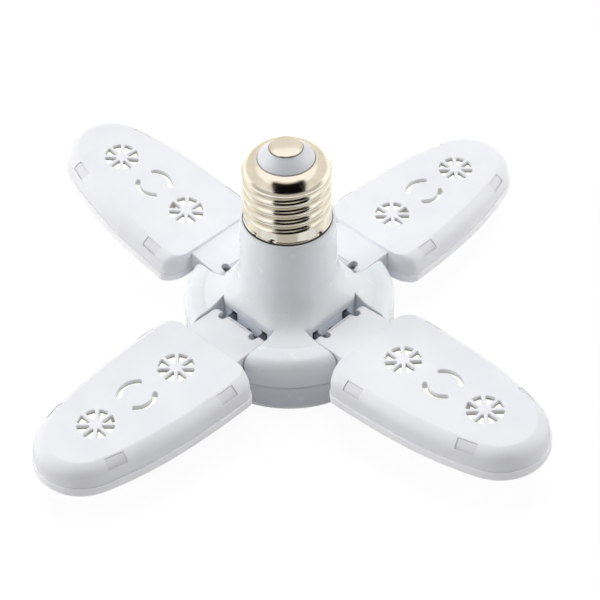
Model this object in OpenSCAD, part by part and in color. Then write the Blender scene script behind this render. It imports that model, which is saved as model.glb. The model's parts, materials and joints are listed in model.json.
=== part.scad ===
// Folding ceiling lamp: a screw-cap hub with four light leaves, each on its own hinge.
// The lamp stands on the diffuser of its hub. The cap's axis is Z, and a leaf lies along
// each of +X, +Y, -X and -Y. A leaf at 0 degrees is level and folds up towards the cap.

/* [Hub] */
// Outer diameter of the hub
hub_d = 65.2; // [64.8:0.2:70]
// Height of the lobes between the leaves
hub_h = 20.3; // [19.8:0.1:20.8]
// Height of the joint between the base and the upper housing
seam_h = 10; // [9.6:0.1:10.4]
// Thickness of the hub's walls
hub_wall = 1.6; // [1.2:0.1:1.8]
// Rounding of the lobes' outer edge
lobe_round = 3.4; // [2:0.1:4]
// Diameter of the neck under the cap
neck_d = 28.6; // [28.2:0.1:29.4]
// Diameter of the neck where it starts to flare
neck_foot_d = 30.2; // [29.6:0.1:31]
// Height of the top of the neck
neck_h = 50.1; // [48:0.1:54]
// Radius of the flare between the neck and the lobes
flare_r = 12; // [11:0.1:12.4]
// Distance from the axis to the back wall of a leaf's pocket
pocket_back = 17.4; // [17:0.1:17.6]
// Gap between a leaf's tongue and each side of its pocket
pocket_gap = 0.4; // [0.3:0.05:0.6]
// Thickness of the deck between the pockets and the light board
deck_t = 1.6; // [1.2:0.1:2]
// Diameter of the opening in the deck
deck_hole_d = 22; // [20:0.5:23]
// Distance from the inside of the hub's wall to the base screws
screw_edge = 4.8; // [4.4:0.1:5.2]
// Diameter of the bosses that take the base screws
boss_d = 5; // [4.4:0.1:5.4]
// Radii of the hub's two rings of LEDs
led_ring_r = [19, 10]; // [8:0.5:20]
// Thickness of the hub's diffuser
hub_diffuser_t = 1.5; // [1.2:0.1:2]
// Height of the shadow groove between the base and its diffuser
foot_gap = 0.3; // [0.2:0.05:0.5]
// Step in from the base to the edge of its diffuser
foot_step = 0.6; // [0.4:0.1:1]

/* [Screw cap] */
// Diameter over the thread's crests
cap_d = 26.3; // [26:0.05:26.4]
// Depth of the thread
thread_depth = 1; // [0.8:0.05:1.1]
// Rise of the thread in one turn
thread_pitch = 3.63; // [3.4:0.01:3.8]
// Length of the threaded part
thread_l = 14.1; // [12:0.1:16]
// Diameter of the plain skirt below the thread
skirt_d = 26.6; // [26.4:0.05:26.8]
// Length of the skirt
skirt_l = 3.6; // [3:0.1:5]
// Height of the rounded shoulder above the thread
shoulder_h = 4.3; // [3.8:0.1:5]
// Thickness of the cap's metal
cap_t = 0.4; // [0.3:0.05:0.5]
// Diameter of the insulator where it comes out of the cap
insulator_d = 17; // [16:0.1:18]
// Height of the insulator above the cap
insulator_h = 3.7; // [3.5:0.1:4.5]
// Diameter of the centre contact
contact_d = 9.8; // [9:0.1:10.4]
// Height of the centre contact's dome
contact_h = 0.45; // [0.3:0.05:0.8]

/* [Leaf] */
// Distance from the lamp's axis to the inner end of a leaf
leaf_start = 33.7; // [33.5:0.1:36]
// Length of a leaf's flat top
leaf_l = 60.8; // [56:0.2:66]
// Width of the flat top at the hub's end
leaf_w = 32.4; // [31:0.1:32.6]
// Radius of the tip in plan
tip_r = 11; // [10:0.2:12]
// Height of a level leaf's top above the surface that the lamp stands on
leaf_top = 20.8; // [20.6:0.1:21]
// Width of the rounded shoulder round the top
shoulder_w = 3.4; // [3:0.1:3.5]
// Depth of the rounded shoulder
shoulder_d = 4; // [3.6:0.1:4.4]
// Depth of the housing from its top to its lower edge
housing_d = 7; // [6.8:0.1:7.2]
// Thickness of the leaf's walls
leaf_wall = 1.6; // [1.4:0.1:1.8]
// Width of the diffuser's rim beyond the flat top
rim_w = 4.2; // [4.1:0.05:4.4]
// Depth of the diffuser's rim
rim_d = 3.2; // [3:0.1:3.6]
// Thickness of the diffuser
diffuser_t = 1.3; // [1:0.1:1.5]
// Thickness of the light boards
board_t = 1.2; // [1:0.1:1.6]
// Depth from a leaf's top to the back of its light board
board_depth = 4.6; // [4.4:0.1:4.8]

/* [Leaf openings] */
// Distances from the leaf's inner end to the centres of its vent rosettes
rosette_at = [13.7, 44.8]; // [12:0.1:46]
// Radius over a rosette's petals
rosette_r = 5.65; // [5:0.05:6]
// Distance from the leaf's inner end to the centre of its two curved slots
ring_at = 29.1; // [28.5:0.1:29.8]
// Radius to the middle of the curved slots
ring_r = 5; // [4.6:0.1:5.2]
// Width of the curved slots
ring_w = 1.3; // [1:0.1:1.5]
// Distances from the leaf's inner end to the middles of its snap windows
window_at = [10.3, 48.8]; // [9:0.1:50]
// Length of a snap window
window_l = 6; // [5:0.1:6.6]
// Distance from the leaf's inner end to its first LEDs
led_start = 7; // [6:0.1:8]
// Distance from one row of the leaf's LEDs to the next
led_pitch = 7.4; // [6.8:0.1:7.6]
// Distance from the leaf's middle line to its outer LEDs
led_side = 9.5; // [8.5:0.1:10]
// Distances from the leaf's inner end to the board's screws
leaf_screw_at = [21.6, 36.6]; // [21:0.1:37]

/* [Hinge] */
// Distance from the lamp's axis to a hinge's axis
hinge_at = 22; // [21.8:0.1:22.2]
// Height of a hinge's axis
hinge_h = 16.4; // [16.2:0.1:16.6]
// Diameter of the hinge pins
pin_d = 1.5; // [1.4:0.05:1.6]
// Radial clearance of a pin in its tongue
pin_play = 0.05; // [0.03:0.01:0.08]
// Width of a leaf's tongue
tongue_w = 21.4; // [21:0.1:21.6]
// Distance from the lamp's axis to the tongue's inner end
tongue_start = 20.66; // [20.5:0.02:20.8]
// Step down from the leaf's top to its tongue
tongue_step = 0.95; // [0.8:0.05:1.1]
// Distance from a leaf's middle line to each hinge ear
ear_at = 6.5; // [6.3:0.1:6.8]
// Thickness of a hinge ear
ear_t = 1.4; // [1.2:0.1:1.6]
// Angles of the four leaves above level
leaf_angle = [3.3, 0.8, 9.1, 0]; // [0:0.1:12]

/* [Hidden] */
$fn = 64;

// Colours
housing_white = [0.93, 0.935, 0.95];
hub_white = [0.9, 0.92, 0.94];
milky = [0.94, 0.94, 0.95];
nickel = [0.86, 0.82, 0.72];
steel = [0.7, 0.71, 0.72];
board_white = [0.95, 0.94, 0.89];
board_green = [0.12, 0.42, 0.22];

// Overrun of a cut past the face that it opens
over = 0.5;
// Overlap of two bodies that make one solid
lap = 0.01;
// Fitting gap between pieces that are assembled and stay still
fit_gap = 0.1;
// Gap kept between a moving leaf and the hub
run_gap = 0.35;

// Hub
hub_r = hub_d / 2;
screw_circle_r = hub_r - hub_wall - screw_edge;
board_edge = 2.2;
flare_x = neck_foot_d / 2 + flare_r;
flare_z = hub_h + flare_r;
pocket_w = tongue_w + 2 * pocket_gap;
foot_z = hub_diffuser_t + foot_gap;
deck_z = seam_h - deck_t;
seam_line = 0.3;
back_cut = [pocket_back - 3, pocket_back + 1];
slot_play = 0.45;
board_hole_r = 1.5;
rail_w = 1.2;
rail_bite = 1.4;
spigot_r = skirt_d / 2 - cap_t - fit_gap;
spigot_wall = 1.4;
guide_z = hub_h + 3;
hub_board_z = deck_z - board_t;

// Snap ring that holds the hub's diffuser in its base
snap_wall = 1.2;
snap_gap = 0.2;
snap_low = 2;
snap_h = 0.9;
snap_d = 0.4;
diffuser_edge = 0.4;

// Screws
screw_r = 1;
screw_head_r = 2;
screw_head_h = 1.2;
screw_grip = 5;
screw_play = 0.05;
screw_pass = 0.3;
screw_spare = 0.8;
cross_half = 1.1;
cross_w = 0.5;
cross_d = 0.6;

// Cap
cap_seat = 0.25;
skirt_z = neck_h + cap_seat;
spigot_h = skirt_z - neck_h + skirt_l - 0.5;
thread_z = skirt_z + skirt_l;
shoulder_z = thread_z + thread_l;
cap_top = shoulder_z + shoulder_h;
crest_r = cap_d / 2;
bore_r = crest_r - thread_depth - cap_t;
contact_z = cap_top + insulator_h;
contact_edge = 0.45;
stem_r = 0.9;
stem_l = 7;
thread_sides = 40;
thread_slices = 7;

// Driver board
driver_t = 1.2;
driver_w = 23.6;
driver_top = neck_h - 1;
driver_tail_w = 10;
capacitor_r = 4;
capacitor_l = 11.6;
capacitor_drop = 16.8;
inductor_r = 4;
inductor_l = 8;
inductor_drop = 19.8;
flange_t = 1.2;
bobbin_r = 3.2;
component_x = 4.6;
component_gap = 0.1;
bridge_size = [4.8, 2.5, 4];
bridge_drop = 11.8;
chip_size = [5, 1.6, 4];
chip_drop = 20.8;
resistor_r = 1.5;
resistor_l = 8.5;
resistor_x = 6.5;
resistor_drop = 13.8;

// Hinge, in the frame of a leaf: x outward from the hinge's axis, y across, z up
root_x = leaf_start - hinge_at;
top_z = leaf_top - hinge_h;
tongue_x = tongue_start - hinge_at;
tongue_z = top_z - tongue_step;
tongue_low = top_z - housing_d + fit_gap;
tongue_root = 0.6;
tongue_round = 1.6;
tunnel_half = 1.7;
tunnel_up = 1.1;
pin_r = pin_d / 2;
eye_r = 1.5;
arm_half = 1.05;
ear_gap = 0.65;
// Centre of the notch's round end: it clears the corners of a raised ear
notch_x = arm_half + run_gap - sqrt(pow(ear_t / 2 + ear_gap, 2) - pow(ear_t / 2, 2));
pin_in = 3.6;
pin_out = tongue_w / 2 - 0.4;
lead_room_w = 6.4;
lead_room_x = 2;
lead_room_z = 1.7;
plate_t = 0.9;
plate_w = 16.4;
plate_low = 12;
plate_high = 19.4;
rivet_y = 3.4;
rivet_z = 13.2;
rivet_r = 0.6;
rivet_head_r = 1.1;
rivet_head_h = 0.5;
slot_low = 14.6;
slot_high = 18.3;
stop_x = 5;
stop_l = 3;
stop_half = 1;

// Wires
wire_r = 0.45;
wire_sides = 8;
wire_gap = 1.3;
feed_z = 13;
feed_hole_r = 2.1;
axis_turn = 2.6;
lead_side = 0.85;
lead_clear = 0.05;

// Leaf
side_l = leaf_l - tip_r;
join_angle = 72;
join_x = side_l + tip_r * cos(join_angle);
join_y = tip_r * sin(join_angle);
root_round = 4;
root_draft = 0.15;
edge_angle = 20;
wall_spread = 0.3;
leaf_boss_r = 2.2;
leaf_hole_d = 2.6;
leaf_screw_grip = 2.2;
rim_wall = 2.6;
rim_round = 0.25;
rim_low_round = 0.8;
rim_slope = 0.35;
rim_foot = 1;
snap_skirt_gap = 0.1;
snap_skirt_t = 1;
board_inset = 0.4;
floor_d = housing_d + rim_d - diffuser_t;
led_l = 3.5;
led_w = 2.8;
led_t = 0.75;
led_edge = 3.6;
window_w = 2.4;
window_in = 0.6;
window_d = 4.6;
hook_gap = 0.3;
hook_root = 2.2;
hook_top = 2.8;
petal_start = 2.2;
petal_root_r = 0.3;
petal_end_r = 0.45;
petal_half = 1;
slot_spread = 50;

// Half width of a leaf's flat top at a distance along it from its inner end
function half_w(s) = leaf_w / 2 - (leaf_w / 2 - join_y) * pow(s / join_x, 3);
// Slope of that side
function side_slope(s) = -3 * (leaf_w / 2 - join_y) * pow(s / join_x, 2) / join_x;
// Direction square to that side, in degrees from the leaf's length
function side_normal(s) = 90 + atan(side_slope(s));

// One half of a leaf's outline, o beyond the flat top, from the inner end to the tip.
// A skin that lies inside another one by inset has its inner end moved in by as much.
function half_outline(o, inset) = concat(
    [for (a = [0:22.5:90])
        [root_round - (root_round + (o + inset) * root_draft - inset) * cos(a),
         half_w(root_round) - root_round + (root_round + o) * sin(a)]],
    [for (i = [1:7])
        let (s = root_round + (join_x - root_round) * i / 8, n = side_normal(s))
        [s + o * cos(n), half_w(s) + o * sin(n)]],
    [for (i = [0:6])
        let (a = join_angle * (1 - i / 6))
        [side_l + (tip_r + o) * cos(a), (tip_r + o) * sin(a)]]
);
// The whole outline, in the frame of the leaf
function outline(o, inset = 0) =
    let (h = half_outline(o, inset), n = len(h))
    [for (i = [0:2 * n - 2])
        i < n ? [root_x + h[i][0], h[i][1]]
              : [root_x + h[2 * n - 2 - i][0], -h[2 * n - 2 - i][1]]];

// Points of an arc round c
function arc_points(c, r, a0, a1, steps) =
    [for (i = [0:steps]) let (a = a0 + (a1 - a0) * i / steps) c + r * [cos(a), sin(a)]];

// Faces of a closed skin over m rings of n points each
function skin_faces(m, n) = concat(
    [[for (i = [0:n - 1]) i]],
    [for (j = [0:m - 2]) for (i = [0:n - 1])
        let (a = j * n + i, b = j * n + (i + 1) % n)
        each [[a, b + n, b], [a, a + n, b + n]]],
    [[for (i = [0:n - 1]) m * n - 1 - i]]
);

// Closed skin over outlines: each ring is [depth below the top, width beyond it]
module loft(rings, inset = 0) {
    points = [for (r = rings) for (p = outline(r[1], inset)) [p[0], p[1], top_z - r[0]]];
    polyhedron(points, skin_faces(len(rings), len(outline(0))));
}

// Rings of a leaf's rounded shoulder and of its wall, moved in by inset
function shoulder(inset) = [for (i = [0:4])
    let (a = edge_angle + (90 - edge_angle) * i / 4)
    [inset + (shoulder_d - inset) * (cos(edge_angle) - cos(a)) / cos(edge_angle),
     -inset + shoulder_w * (sin(a) - sin(edge_angle)) / (1 - sin(edge_angle))]];

// Placing of leaf k, from the frame of a leaf to the lamp
module at_leaf(k) {
    rotate([0, 0, 90 * k])
        translate([hinge_at, 0, hinge_h])
            rotate([0, -leaf_angle[k], 0])
                children();
}

// Placing of the pieces that belong to pocket k and stay still
module at_pocket(k) {
    rotate([0, 0, 90 * k]) children();
}

// A copy on each side of a leaf's middle line
module both_sides() {
    children();
    mirror([0, 1, 0]) children();
}

// Box from its low corner to its high corner
module block(low, high) {
    translate(low) cube(high - low);
}

// Bored or solid round bar along X or Y, centred across
module bar_x(r, x0, x1) {
    translate([x0, 0, 0]) rotate([0, 90, 0]) cylinder(r = r, h = x1 - x0);
}
module bar_y(r, y0, y1) {
    translate([0, y1, 0]) rotate([90, 0, 0]) cylinder(r = r, h = y1 - y0);
}

// Ring of a wire at its next bend, carried along direction d to the plane across n at p
function carried(ring, p, d, n) = [for (q = ring) q + d * (((p - q) * n) / (d * n))];
function unit(v) = v / norm(v);
function leg(path, i) = unit(path[min(i + 1, len(path) - 1)] - path[min(i, len(path) - 2)]);
function bend(path, i) = i == 0 ? leg(path, 0) : unit(leg(path, i - 1) + leg(path, i));
function wire_rings(path, rings, i) =
    i >= len(path) ? rings
    : wire_rings(path, concat(rings, [carried(rings[i - 1], path[i], leg(path, i - 1),
                                              bend(path, i))]), i + 1);
function first_ring(path) =
    let (d = leg(path, 0), side = abs(d[1]) > 0.9 ? [1, 0, 0] : [0, 1, 0],
         u = unit(cross(d, side)), v = cross(d, u))
    [for (i = [0:wire_sides - 1])
        path[0] + wire_r * (cos(360 * i / wire_sides) * u + sin(360 * i / wire_sides) * v)];

// Wire along a path of points
module wire(path) {
    rings = wire_rings(path, [first_ring(path)], 1);
    polyhedron([for (r = rings) each r], skin_faces(len(path), wire_sides));
}

// ---- Hub ----

// Half section of the hub above the seam, moved in by inset
module hub_section(inset) {
    top = hub_h - inset;
    rim = hub_r - inset;
    edge_r = lobe_round - inset;
    translate([0, seam_h]) square([rim - edge_r, top - seam_h]);
    translate([0, seam_h]) square([rim, top - edge_r - seam_h]);
    translate([rim - edge_r, top - edge_r]) circle(edge_r);
    difference() {
        translate([0, seam_h]) square([flare_x, flare_z - seam_h]);
        translate([flare_x, flare_z]) circle(flare_r + inset, $fn = 128);
    }
    polygon([[0, flare_z - lap], [neck_foot_d / 2 - inset, flare_z - lap],
             [neck_d / 2 - inset, neck_h], [0, neck_h]]);
}

// Walls of pocket k, before the pocket is cut
module pocket_block(k) {
    at_pocket(k)
        block([pocket_back - hub_wall, -pocket_w / 2 - hub_wall, seam_h - over],
              [hub_d, pocket_w / 2 + hub_wall, flare_z]);
}

// Post in a lobe for a base screw
module lobe_boss() {
    translate([screw_circle_r, 0, seam_h]) cylinder(d = boss_d, h = hub_h - seam_h);
}

// Rails in the neck that hold the driver board by its edges
module driver_rails() {
    rail_in = driver_w / 2 - rail_bite;
    rail_y = driver_t / 2 + fit_gap;
    for (side = [0, 180])
        rotate([0, 0, side])
            for (y = [rail_y, -rail_y - rail_w])
                block([rail_in, y, guide_z], [pocket_back - hub_wall / 2, y + rail_w, neck_h]);
}

module hub_housing() {
    color(hub_white) difference() {
        union() {
            rotate_extrude($fn = 128) hub_section(0);
            translate([0, 0, neck_h - lap]) cylinder(r = spigot_r, h = spigot_h + lap);
        }
        difference() {
            union() {
                rotate_extrude($fn = 128) hub_section(hub_wall);
                translate([0, 0, seam_h - over]) cylinder(r = hub_r - hub_wall, h = over + lap);
                translate([0, 0, neck_h - lap])
                    cylinder(r = spigot_r - spigot_wall, h = spigot_h + 1);
            }
            for (k = [0:3]) pocket_block(k);
            for (k = [0:3]) rotate([0, 0, 45 + 90 * k]) lobe_boss();
            driver_rails();
        }
        for (k = [0:3]) at_pocket(k) {
            block([pocket_back, -pocket_w / 2, seam_h - over],
                  [hub_d, pocket_w / 2, flare_z + flare_r]);
            for (side = [-1, 1]) {
                block([back_cut[0], side * ear_at - ear_t / 2 - slot_play, slot_low],
                      [back_cut[1], side * ear_at + ear_t / 2 + slot_play, slot_high]);
                translate([0, side * rivet_y, rivet_z])
                    bar_x(rivet_r + lap, back_cut[0], back_cut[1]);
            }
            translate([0, 0, feed_z]) bar_x(feed_hole_r, back_cut[0], back_cut[1]);
        }
        for (k = [0:3])
            rotate([0, 0, 45 + 90 * k])
                translate([screw_circle_r, 0, seam_h - over])
                    cylinder(r = screw_r + screw_play, h = screw_grip + screw_spare + over);
    }
}

module hub_base() {
    wall_r = hub_r - hub_wall;
    color(hub_white) difference() {
        union() {
            difference() {
                rotate_extrude($fn = 128)
                    polygon([[0, foot_z], [hub_r, foot_z], [hub_r, seam_h - seam_line],
                             [hub_r - seam_line, seam_h], [0, seam_h]]);
                translate([0, 0, foot_z - over])
                    cylinder(r = wall_r, h = deck_z - foot_z + over, $fn = 128);
            }
            for (k = [0:3]) at_pocket(k)
                for (side = [-1, 1])
                    block([hinge_at + stop_x, side * ear_at - stop_half, seam_h - over],
                          [hinge_at + stop_x + stop_l, side * ear_at + stop_half,
                           hinge_h + tongue_low - run_gap]);
        }
        translate([0, 0, deck_z - over]) cylinder(d = deck_hole_d, h = deck_t + 2 * over);
        for (k = [0:3])
            rotate([0, 0, 45 + 90 * k]) translate([screw_circle_r, 0, deck_z - over])
                cylinder(r = screw_r + screw_pass, h = deck_t + 2 * over);
        rotate_extrude($fn = 128)
            translate([wall_r - over, foot_z + snap_low]) square([over + snap_d, snap_h]);
    }
}

module hub_diffuser() {
    edge_r = hub_r - foot_step;
    skirt_r = hub_r - hub_wall - snap_gap;
    snap_z = foot_z + snap_low;
    skirt_top = snap_z + snap_h + snap_d;
    color(milky) rotate_extrude($fn = 128) {
        polygon([[0, 0], [edge_r - diffuser_edge, 0], [edge_r, diffuser_edge],
                 [edge_r, hub_diffuser_t], [0, hub_diffuser_t]]);
        polygon([[skirt_r - snap_wall, hub_diffuser_t - fit_gap],
                 [skirt_r, hub_diffuser_t - fit_gap], [skirt_r, snap_z + fit_gap],
                 [skirt_r + snap_d, snap_z + snap_h / 2], [skirt_r, snap_z + snap_h - fit_gap],
                 [skirt_r, skirt_top], [skirt_r - snap_wall, skirt_top]]);
    }
}

module hub_light_board() {
    board_r = hub_r - hub_wall - board_edge;
    color(board_white) difference() {
        translate([0, 0, hub_board_z]) cylinder(r = board_r, h = board_t, $fn = 96);
        for (k = [0:3])
            rotate([0, 0, 45 + 90 * k]) translate([screw_circle_r, 0, hub_board_z - over])
                cylinder(r = screw_r + screw_pass, h = board_t + 2 * over);
        translate([0, 0, hub_board_z - over]) cylinder(r = board_hole_r, h = board_t + 2 * over);
    }
}

module led() {
    translate([-led_l / 2, -led_w / 2, -led_t]) cube([led_l, led_w, led_t]);
}

module hub_leds() {
    color("khaki") translate([0, 0, hub_board_z]) {
        for (i = [0:11]) rotate([0, 0, 30 * i + 15]) translate([led_ring_r[0], 0, 0]) led();
        for (i = [0:5]) rotate([0, 0, 60 * i + 30]) translate([led_ring_r[1], 0, 0]) led();
    }
}

// Pan-head screw with its head down and its shank up to a length l
module pan_screw(l) {
    translate([0, 0, -screw_head_h]) difference() {
        cylinder(r = screw_head_r, h = screw_head_h);
        for (a = [0, 90])
            rotate([0, 0, a])
                block([-cross_half, -cross_w / 2, -over], [cross_half, cross_w / 2, cross_d]);
    }
    translate([0, 0, -lap]) cylinder(r = screw_r, h = l + lap);
}

module base_screws() {
    color(steel) for (k = [0:3])
        rotate([0, 0, 45 + 90 * k]) translate([screw_circle_r, 0, hub_board_z])
            pan_screw(board_t + deck_t + screw_grip);
}

// ---- Screw cap ----

// Solid thread, before it is bored
module thread_body() {
    steps = ceil(thread_slices * thread_l / thread_pitch);
    points = [for (j = [0:steps]) for (i = [0:thread_sides - 1])
        let (z = thread_l * j / steps, a = 360 * i / thread_sides,
             r = crest_r - thread_depth / 2 * (1 - cos(360 * z / thread_pitch - a)))
        [r * cos(a), r * sin(a), thread_z + z - (j == 0 ? cap_t / 2 : 0)]];
    polyhedron(points, skin_faces(steps + 1, thread_sides));
}

module cap_shell() {
    skirt_in = skirt_d / 2 - cap_t;
    color(nickel) {
        rotate_extrude($fn = 96)
            polygon([[skirt_in, skirt_z], [skirt_d / 2, skirt_z], [skirt_d / 2, thread_z],
                     [bore_r, thread_z], [bore_r, thread_z - cap_t],
                     [skirt_in, thread_z - cap_t]]);
        difference() {
            thread_body();
            translate([0, 0, thread_z - over]) cylinder(r = bore_r, h = thread_l + 2 * over);
        }
        rotate_extrude($fn = 96) difference() {
            shoulder_section(0);
            shoulder_section(cap_t);
            translate([0, shoulder_z - over]) square([bore_r, over + cap_t / 2]);
            translate([0, shoulder_z]) square([insulator_d / 2, shoulder_h + over]);
        }
    }
}

// Half section of the rounded shoulder between the thread and the insulator
module shoulder_section(inset) {
    lip_r = insulator_d / 2 + cap_t;
    outer = crest_r - thread_depth / 2;
    wide = outer - lip_r;
    points = [for (i = [0:8])
        let (a = 90 * i / 8)
        [lip_r + (wide - inset) * cos(a), shoulder_z + (shoulder_h - inset) * sin(a)]];
    polygon(concat([[0, shoulder_z - cap_t / 2], [outer - inset, shoulder_z - cap_t / 2]],
                   points, [[0, cap_top - inset]]));
}

module cap_insulator() {
    r_in = insulator_d / 2 - fit_gap;
    color([0.82, 0.82, 0.85]) difference() {
        rotate_extrude($fn = 96)
            polygon([[0, shoulder_z + 1], [bore_r - fit_gap - 0.6, shoulder_z + 1],
                     [r_in + 1, shoulder_z + 1.6], [r_in, shoulder_z + 2.4],
                     [r_in, cap_top + 0.2], [contact_d / 2 + 0.5, contact_z - 0.6],
                     [contact_d / 2 + 0.2, contact_z], [0, contact_z]]);
        translate([0, 0, shoulder_z]) cylinder(r = stem_r, h = shoulder_h + insulator_h + 1);
    }
}

module centre_contact() {
    dome_r = (pow(contact_d / 2, 2) + pow(contact_h, 2)) / (2 * contact_h);
    color(nickel) {
        translate([0, 0, contact_z]) cylinder(d = contact_d, h = contact_edge);
        intersection() {
            translate([0, 0, contact_z + contact_edge + contact_h - dome_r])
                sphere(dome_r, $fn = 96);
            translate([0, 0, contact_z + contact_edge - lap])
                cylinder(d = contact_d, h = contact_h + 1);
        }
        translate([0, 0, contact_z - stem_l]) cylinder(r = stem_r, h = stem_l + lap);
    }
}

module cap_leads() {
    stem_z = contact_z - stem_l;
    board_y = driver_t / 2 + wire_r + lead_clear;
    color("firebrick") wire([[0, 0, stem_z], [0, 0, stem_z - 3], [2, board_y, stem_z - 7],
                             [3, board_y, driver_top - 2], [3, board_y, driver_top - 4]]);
    color("navy") wire([[bore_r - 0.05, 0, thread_z + 6], [bore_r - 1.6, 0, thread_z + 5.4],
                        [bore_r - 3, -board_y, thread_z + 3],
                        [bore_r - 3.4, -board_y, driver_top - 2],
                        [bore_r - 3.4, -board_y, driver_top - 4]]);
}

// ---- Driver ----

module driver_board() {
    color(board_green) {
        block([-driver_w / 2, -driver_t / 2, guide_z], [driver_w / 2, driver_t / 2, driver_top]);
        block([-driver_tail_w / 2, -driver_t / 2, seam_h],
              [driver_tail_w / 2, driver_t / 2, guide_z + lap]);
    }
}

// Placing of a round component that stands along the board's front face
module at_driver(x, r, drop) {
    translate([x, driver_t / 2 + r + component_gap, driver_top - drop]) children();
}

module bulk_capacitor() {
    color([0.15, 0.15, 0.2]) at_driver(-component_x, capacitor_r, capacitor_drop)
        rotate_extrude()
            polygon([[0, 0], [capacitor_r - 0.2, 0], [capacitor_r, 0.3], [capacitor_r, 0.9],
                     [capacitor_r - 0.25, 1.2], [capacitor_r, 1.5],
                     [capacitor_r, capacitor_l - 0.4], [capacitor_r - 0.4, capacitor_l],
                     [0, capacitor_l]]);
}

module smoothing_inductor() {
    color([0.3, 0.3, 0.3]) at_driver(component_x, inductor_r, inductor_drop)
        rotate_extrude()
            polygon([[0, 0], [inductor_r, 0], [inductor_r, flange_t], [bobbin_r, flange_t],
                     [bobbin_r, inductor_l - flange_t], [inductor_r, inductor_l - flange_t],
                     [inductor_r, inductor_l], [0, inductor_l]]);
}

// Component with a square body on the board's back face
module flat_component(size, drop) {
    color([0.1, 0.1, 0.1])
        block([-size[0] / 2, -driver_t / 2 - size[1], driver_top - drop],
              [size[0] / 2, -driver_t / 2, driver_top - drop + size[2]]);
}

module bridge_rectifier() {
    flat_component(bridge_size, bridge_drop);
}

module driver_chip() {
    flat_component(chip_size, chip_drop);
}

module fusible_resistor() {
    color([0.2, 0.5, 0.6])
        translate([resistor_x, -driver_t / 2 - resistor_r - component_gap,
                   driver_top - resistor_drop])
            cylinder(r = resistor_r, h = resistor_l);
}

// ---- Hinges ----

module bracket(k) {
    plate_x = pocket_back - hub_wall;
    color(steel) at_pocket(k) difference() {
        union() {
            block([plate_x - plate_t, -plate_w / 2, plate_low], [plate_x, plate_w / 2, plate_high]);
            both_sides() {
                block([plate_x - plate_t, ear_at - ear_t / 2, hinge_h - arm_half],
                      [hinge_at, ear_at + ear_t / 2, hinge_h + arm_half]);
                translate([hinge_at, 0, hinge_h])
                    bar_y(eye_r, ear_at - ear_t / 2, ear_at + ear_t / 2);
            }
        }
        translate([hinge_at, 0, hinge_h]) bar_y(pin_r, -plate_w, plate_w);
        both_sides() translate([0, rivet_y, rivet_z])
            bar_x(rivet_r, plate_x - plate_t - over, plate_x + over);
        translate([0, 0, feed_z]) bar_x(feed_hole_r, plate_x - plate_t - over, plate_x + over);
    }
}

module bracket_rivets() {
    plate_x = pocket_back - hub_wall - plate_t;
    color(steel) for (k = [0:3]) at_pocket(k) both_sides()
        translate([0, rivet_y, rivet_z]) {
            bar_x(rivet_head_r, plate_x - rivet_head_h, plate_x);
            bar_x(rivet_r, plate_x - lap, pocket_back + lap);
            bar_x(rivet_head_r, pocket_back, pocket_back + rivet_head_h);
        }
}

module pins(k) {
    color(steel) at_pocket(k) translate([hinge_at, 0, hinge_h])
        both_sides() bar_y(pin_r, pin_in, pin_out);
}

// Leads from the hub's light board to the hinge, where each ends on the hinge's axis
module leaf_feed_leads() {
    color("red") for (k = [0:3]) at_pocket(k) both_sides()
        wire([[8, wire_gap, deck_z], [8, wire_gap, feed_z - 2],
              [9.2, wire_gap, feed_z - 0.5], [11, wire_gap, feed_z],
              [pocket_back + 0.6, wire_gap, feed_z], [hinge_at - 2.2, 1.9, feed_z + 0.7],
              [hinge_at - 0.6, axis_turn, feed_z + 1.7], [hinge_at, axis_turn, hinge_h - 0.9],
              [hinge_at, axis_turn - 0.3, hinge_h], [hinge_at, axis_turn - 0.8, hinge_h]]);
}

// ---- Leaves ----

// Petal of a vent rosette, pointing along its own x
function petal() = concat(
    arc_points([petal_start, 0], petal_root_r, 250, 110, 2),
    arc_points([rosette_r - 0.55, petal_half], petal_end_r, 110, 15, 3),
    arc_points([rosette_r - 0.55, -petal_half], petal_end_r, -15, -110, 3)
);

// Curved slot about the centre, with round ends
function curved_slot(spread) =
    let (outer = ring_r + ring_w / 2, inner = ring_r - ring_w / 2,
         low = 90 - spread, high = 90 + spread,
         e0 = ring_r * [cos(low), sin(low)], e1 = ring_r * [cos(high), sin(high)])
    concat(arc_points([0, 0], outer, low, high, 8),
           arc_points(e1, ring_w / 2, high + 45, high + 135, 2),
           arc_points([0, 0], inner, high, low, 8),
           arc_points(e0, ring_w / 2, low - 135, low - 45, 2));

// All the openings through a leaf's flat top
module vent_cuts() {
    translate([root_x, 0, top_z - leaf_wall - over]) {
        for (s = rosette_at) translate([s, 0, 0])
            for (i = [0:7]) rotate([0, 0, 22.5 + 45 * i])
                linear_extrude(leaf_wall + 2 * over) polygon(petal());
        translate([ring_at, 0, 0]) for (side = [0, 180]) rotate([0, 0, side])
            linear_extrude(leaf_wall + 2 * over) polygon(curved_slot(slot_spread));
    }
}

// Placing on a leaf's shoulder beside the distance s, with y outward from the flat top
module at_side(s) {
    translate([root_x + s, half_w(s), top_z]) rotate([0, 0, side_normal(s) - 90]) children();
}

module window_cuts() {
    both_sides() for (s = window_at) at_side(s)
        block([-window_l / 2, window_in, -window_d], [window_l / 2, window_in + window_w, over]);
}

// Notch in the tongue for a hinge ear, and the room that the ear turns in
module ear_cut() {
    half = ear_t / 2 + ear_gap;
    translate([0, ear_at, 0]) {
        bar_y(eye_r + run_gap, -half, half);
        block([tongue_x - over, -half, -eye_r - run_gap], [0, half, tongue_z + over]);
        block([-over, -half, 0], [notch_x, half, tongue_z + over]);
        translate([notch_x, 0, 0]) cylinder(r = half, h = tongue_z + over);
    }
}

// Passage for the leads through the tongue and the leaf's end wall
module lead_tunnel(start) {
    block([start, -tunnel_half, -tunnel_up],
          [root_x + leaf_wall + over, tunnel_half, tunnel_up]);
}

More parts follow.
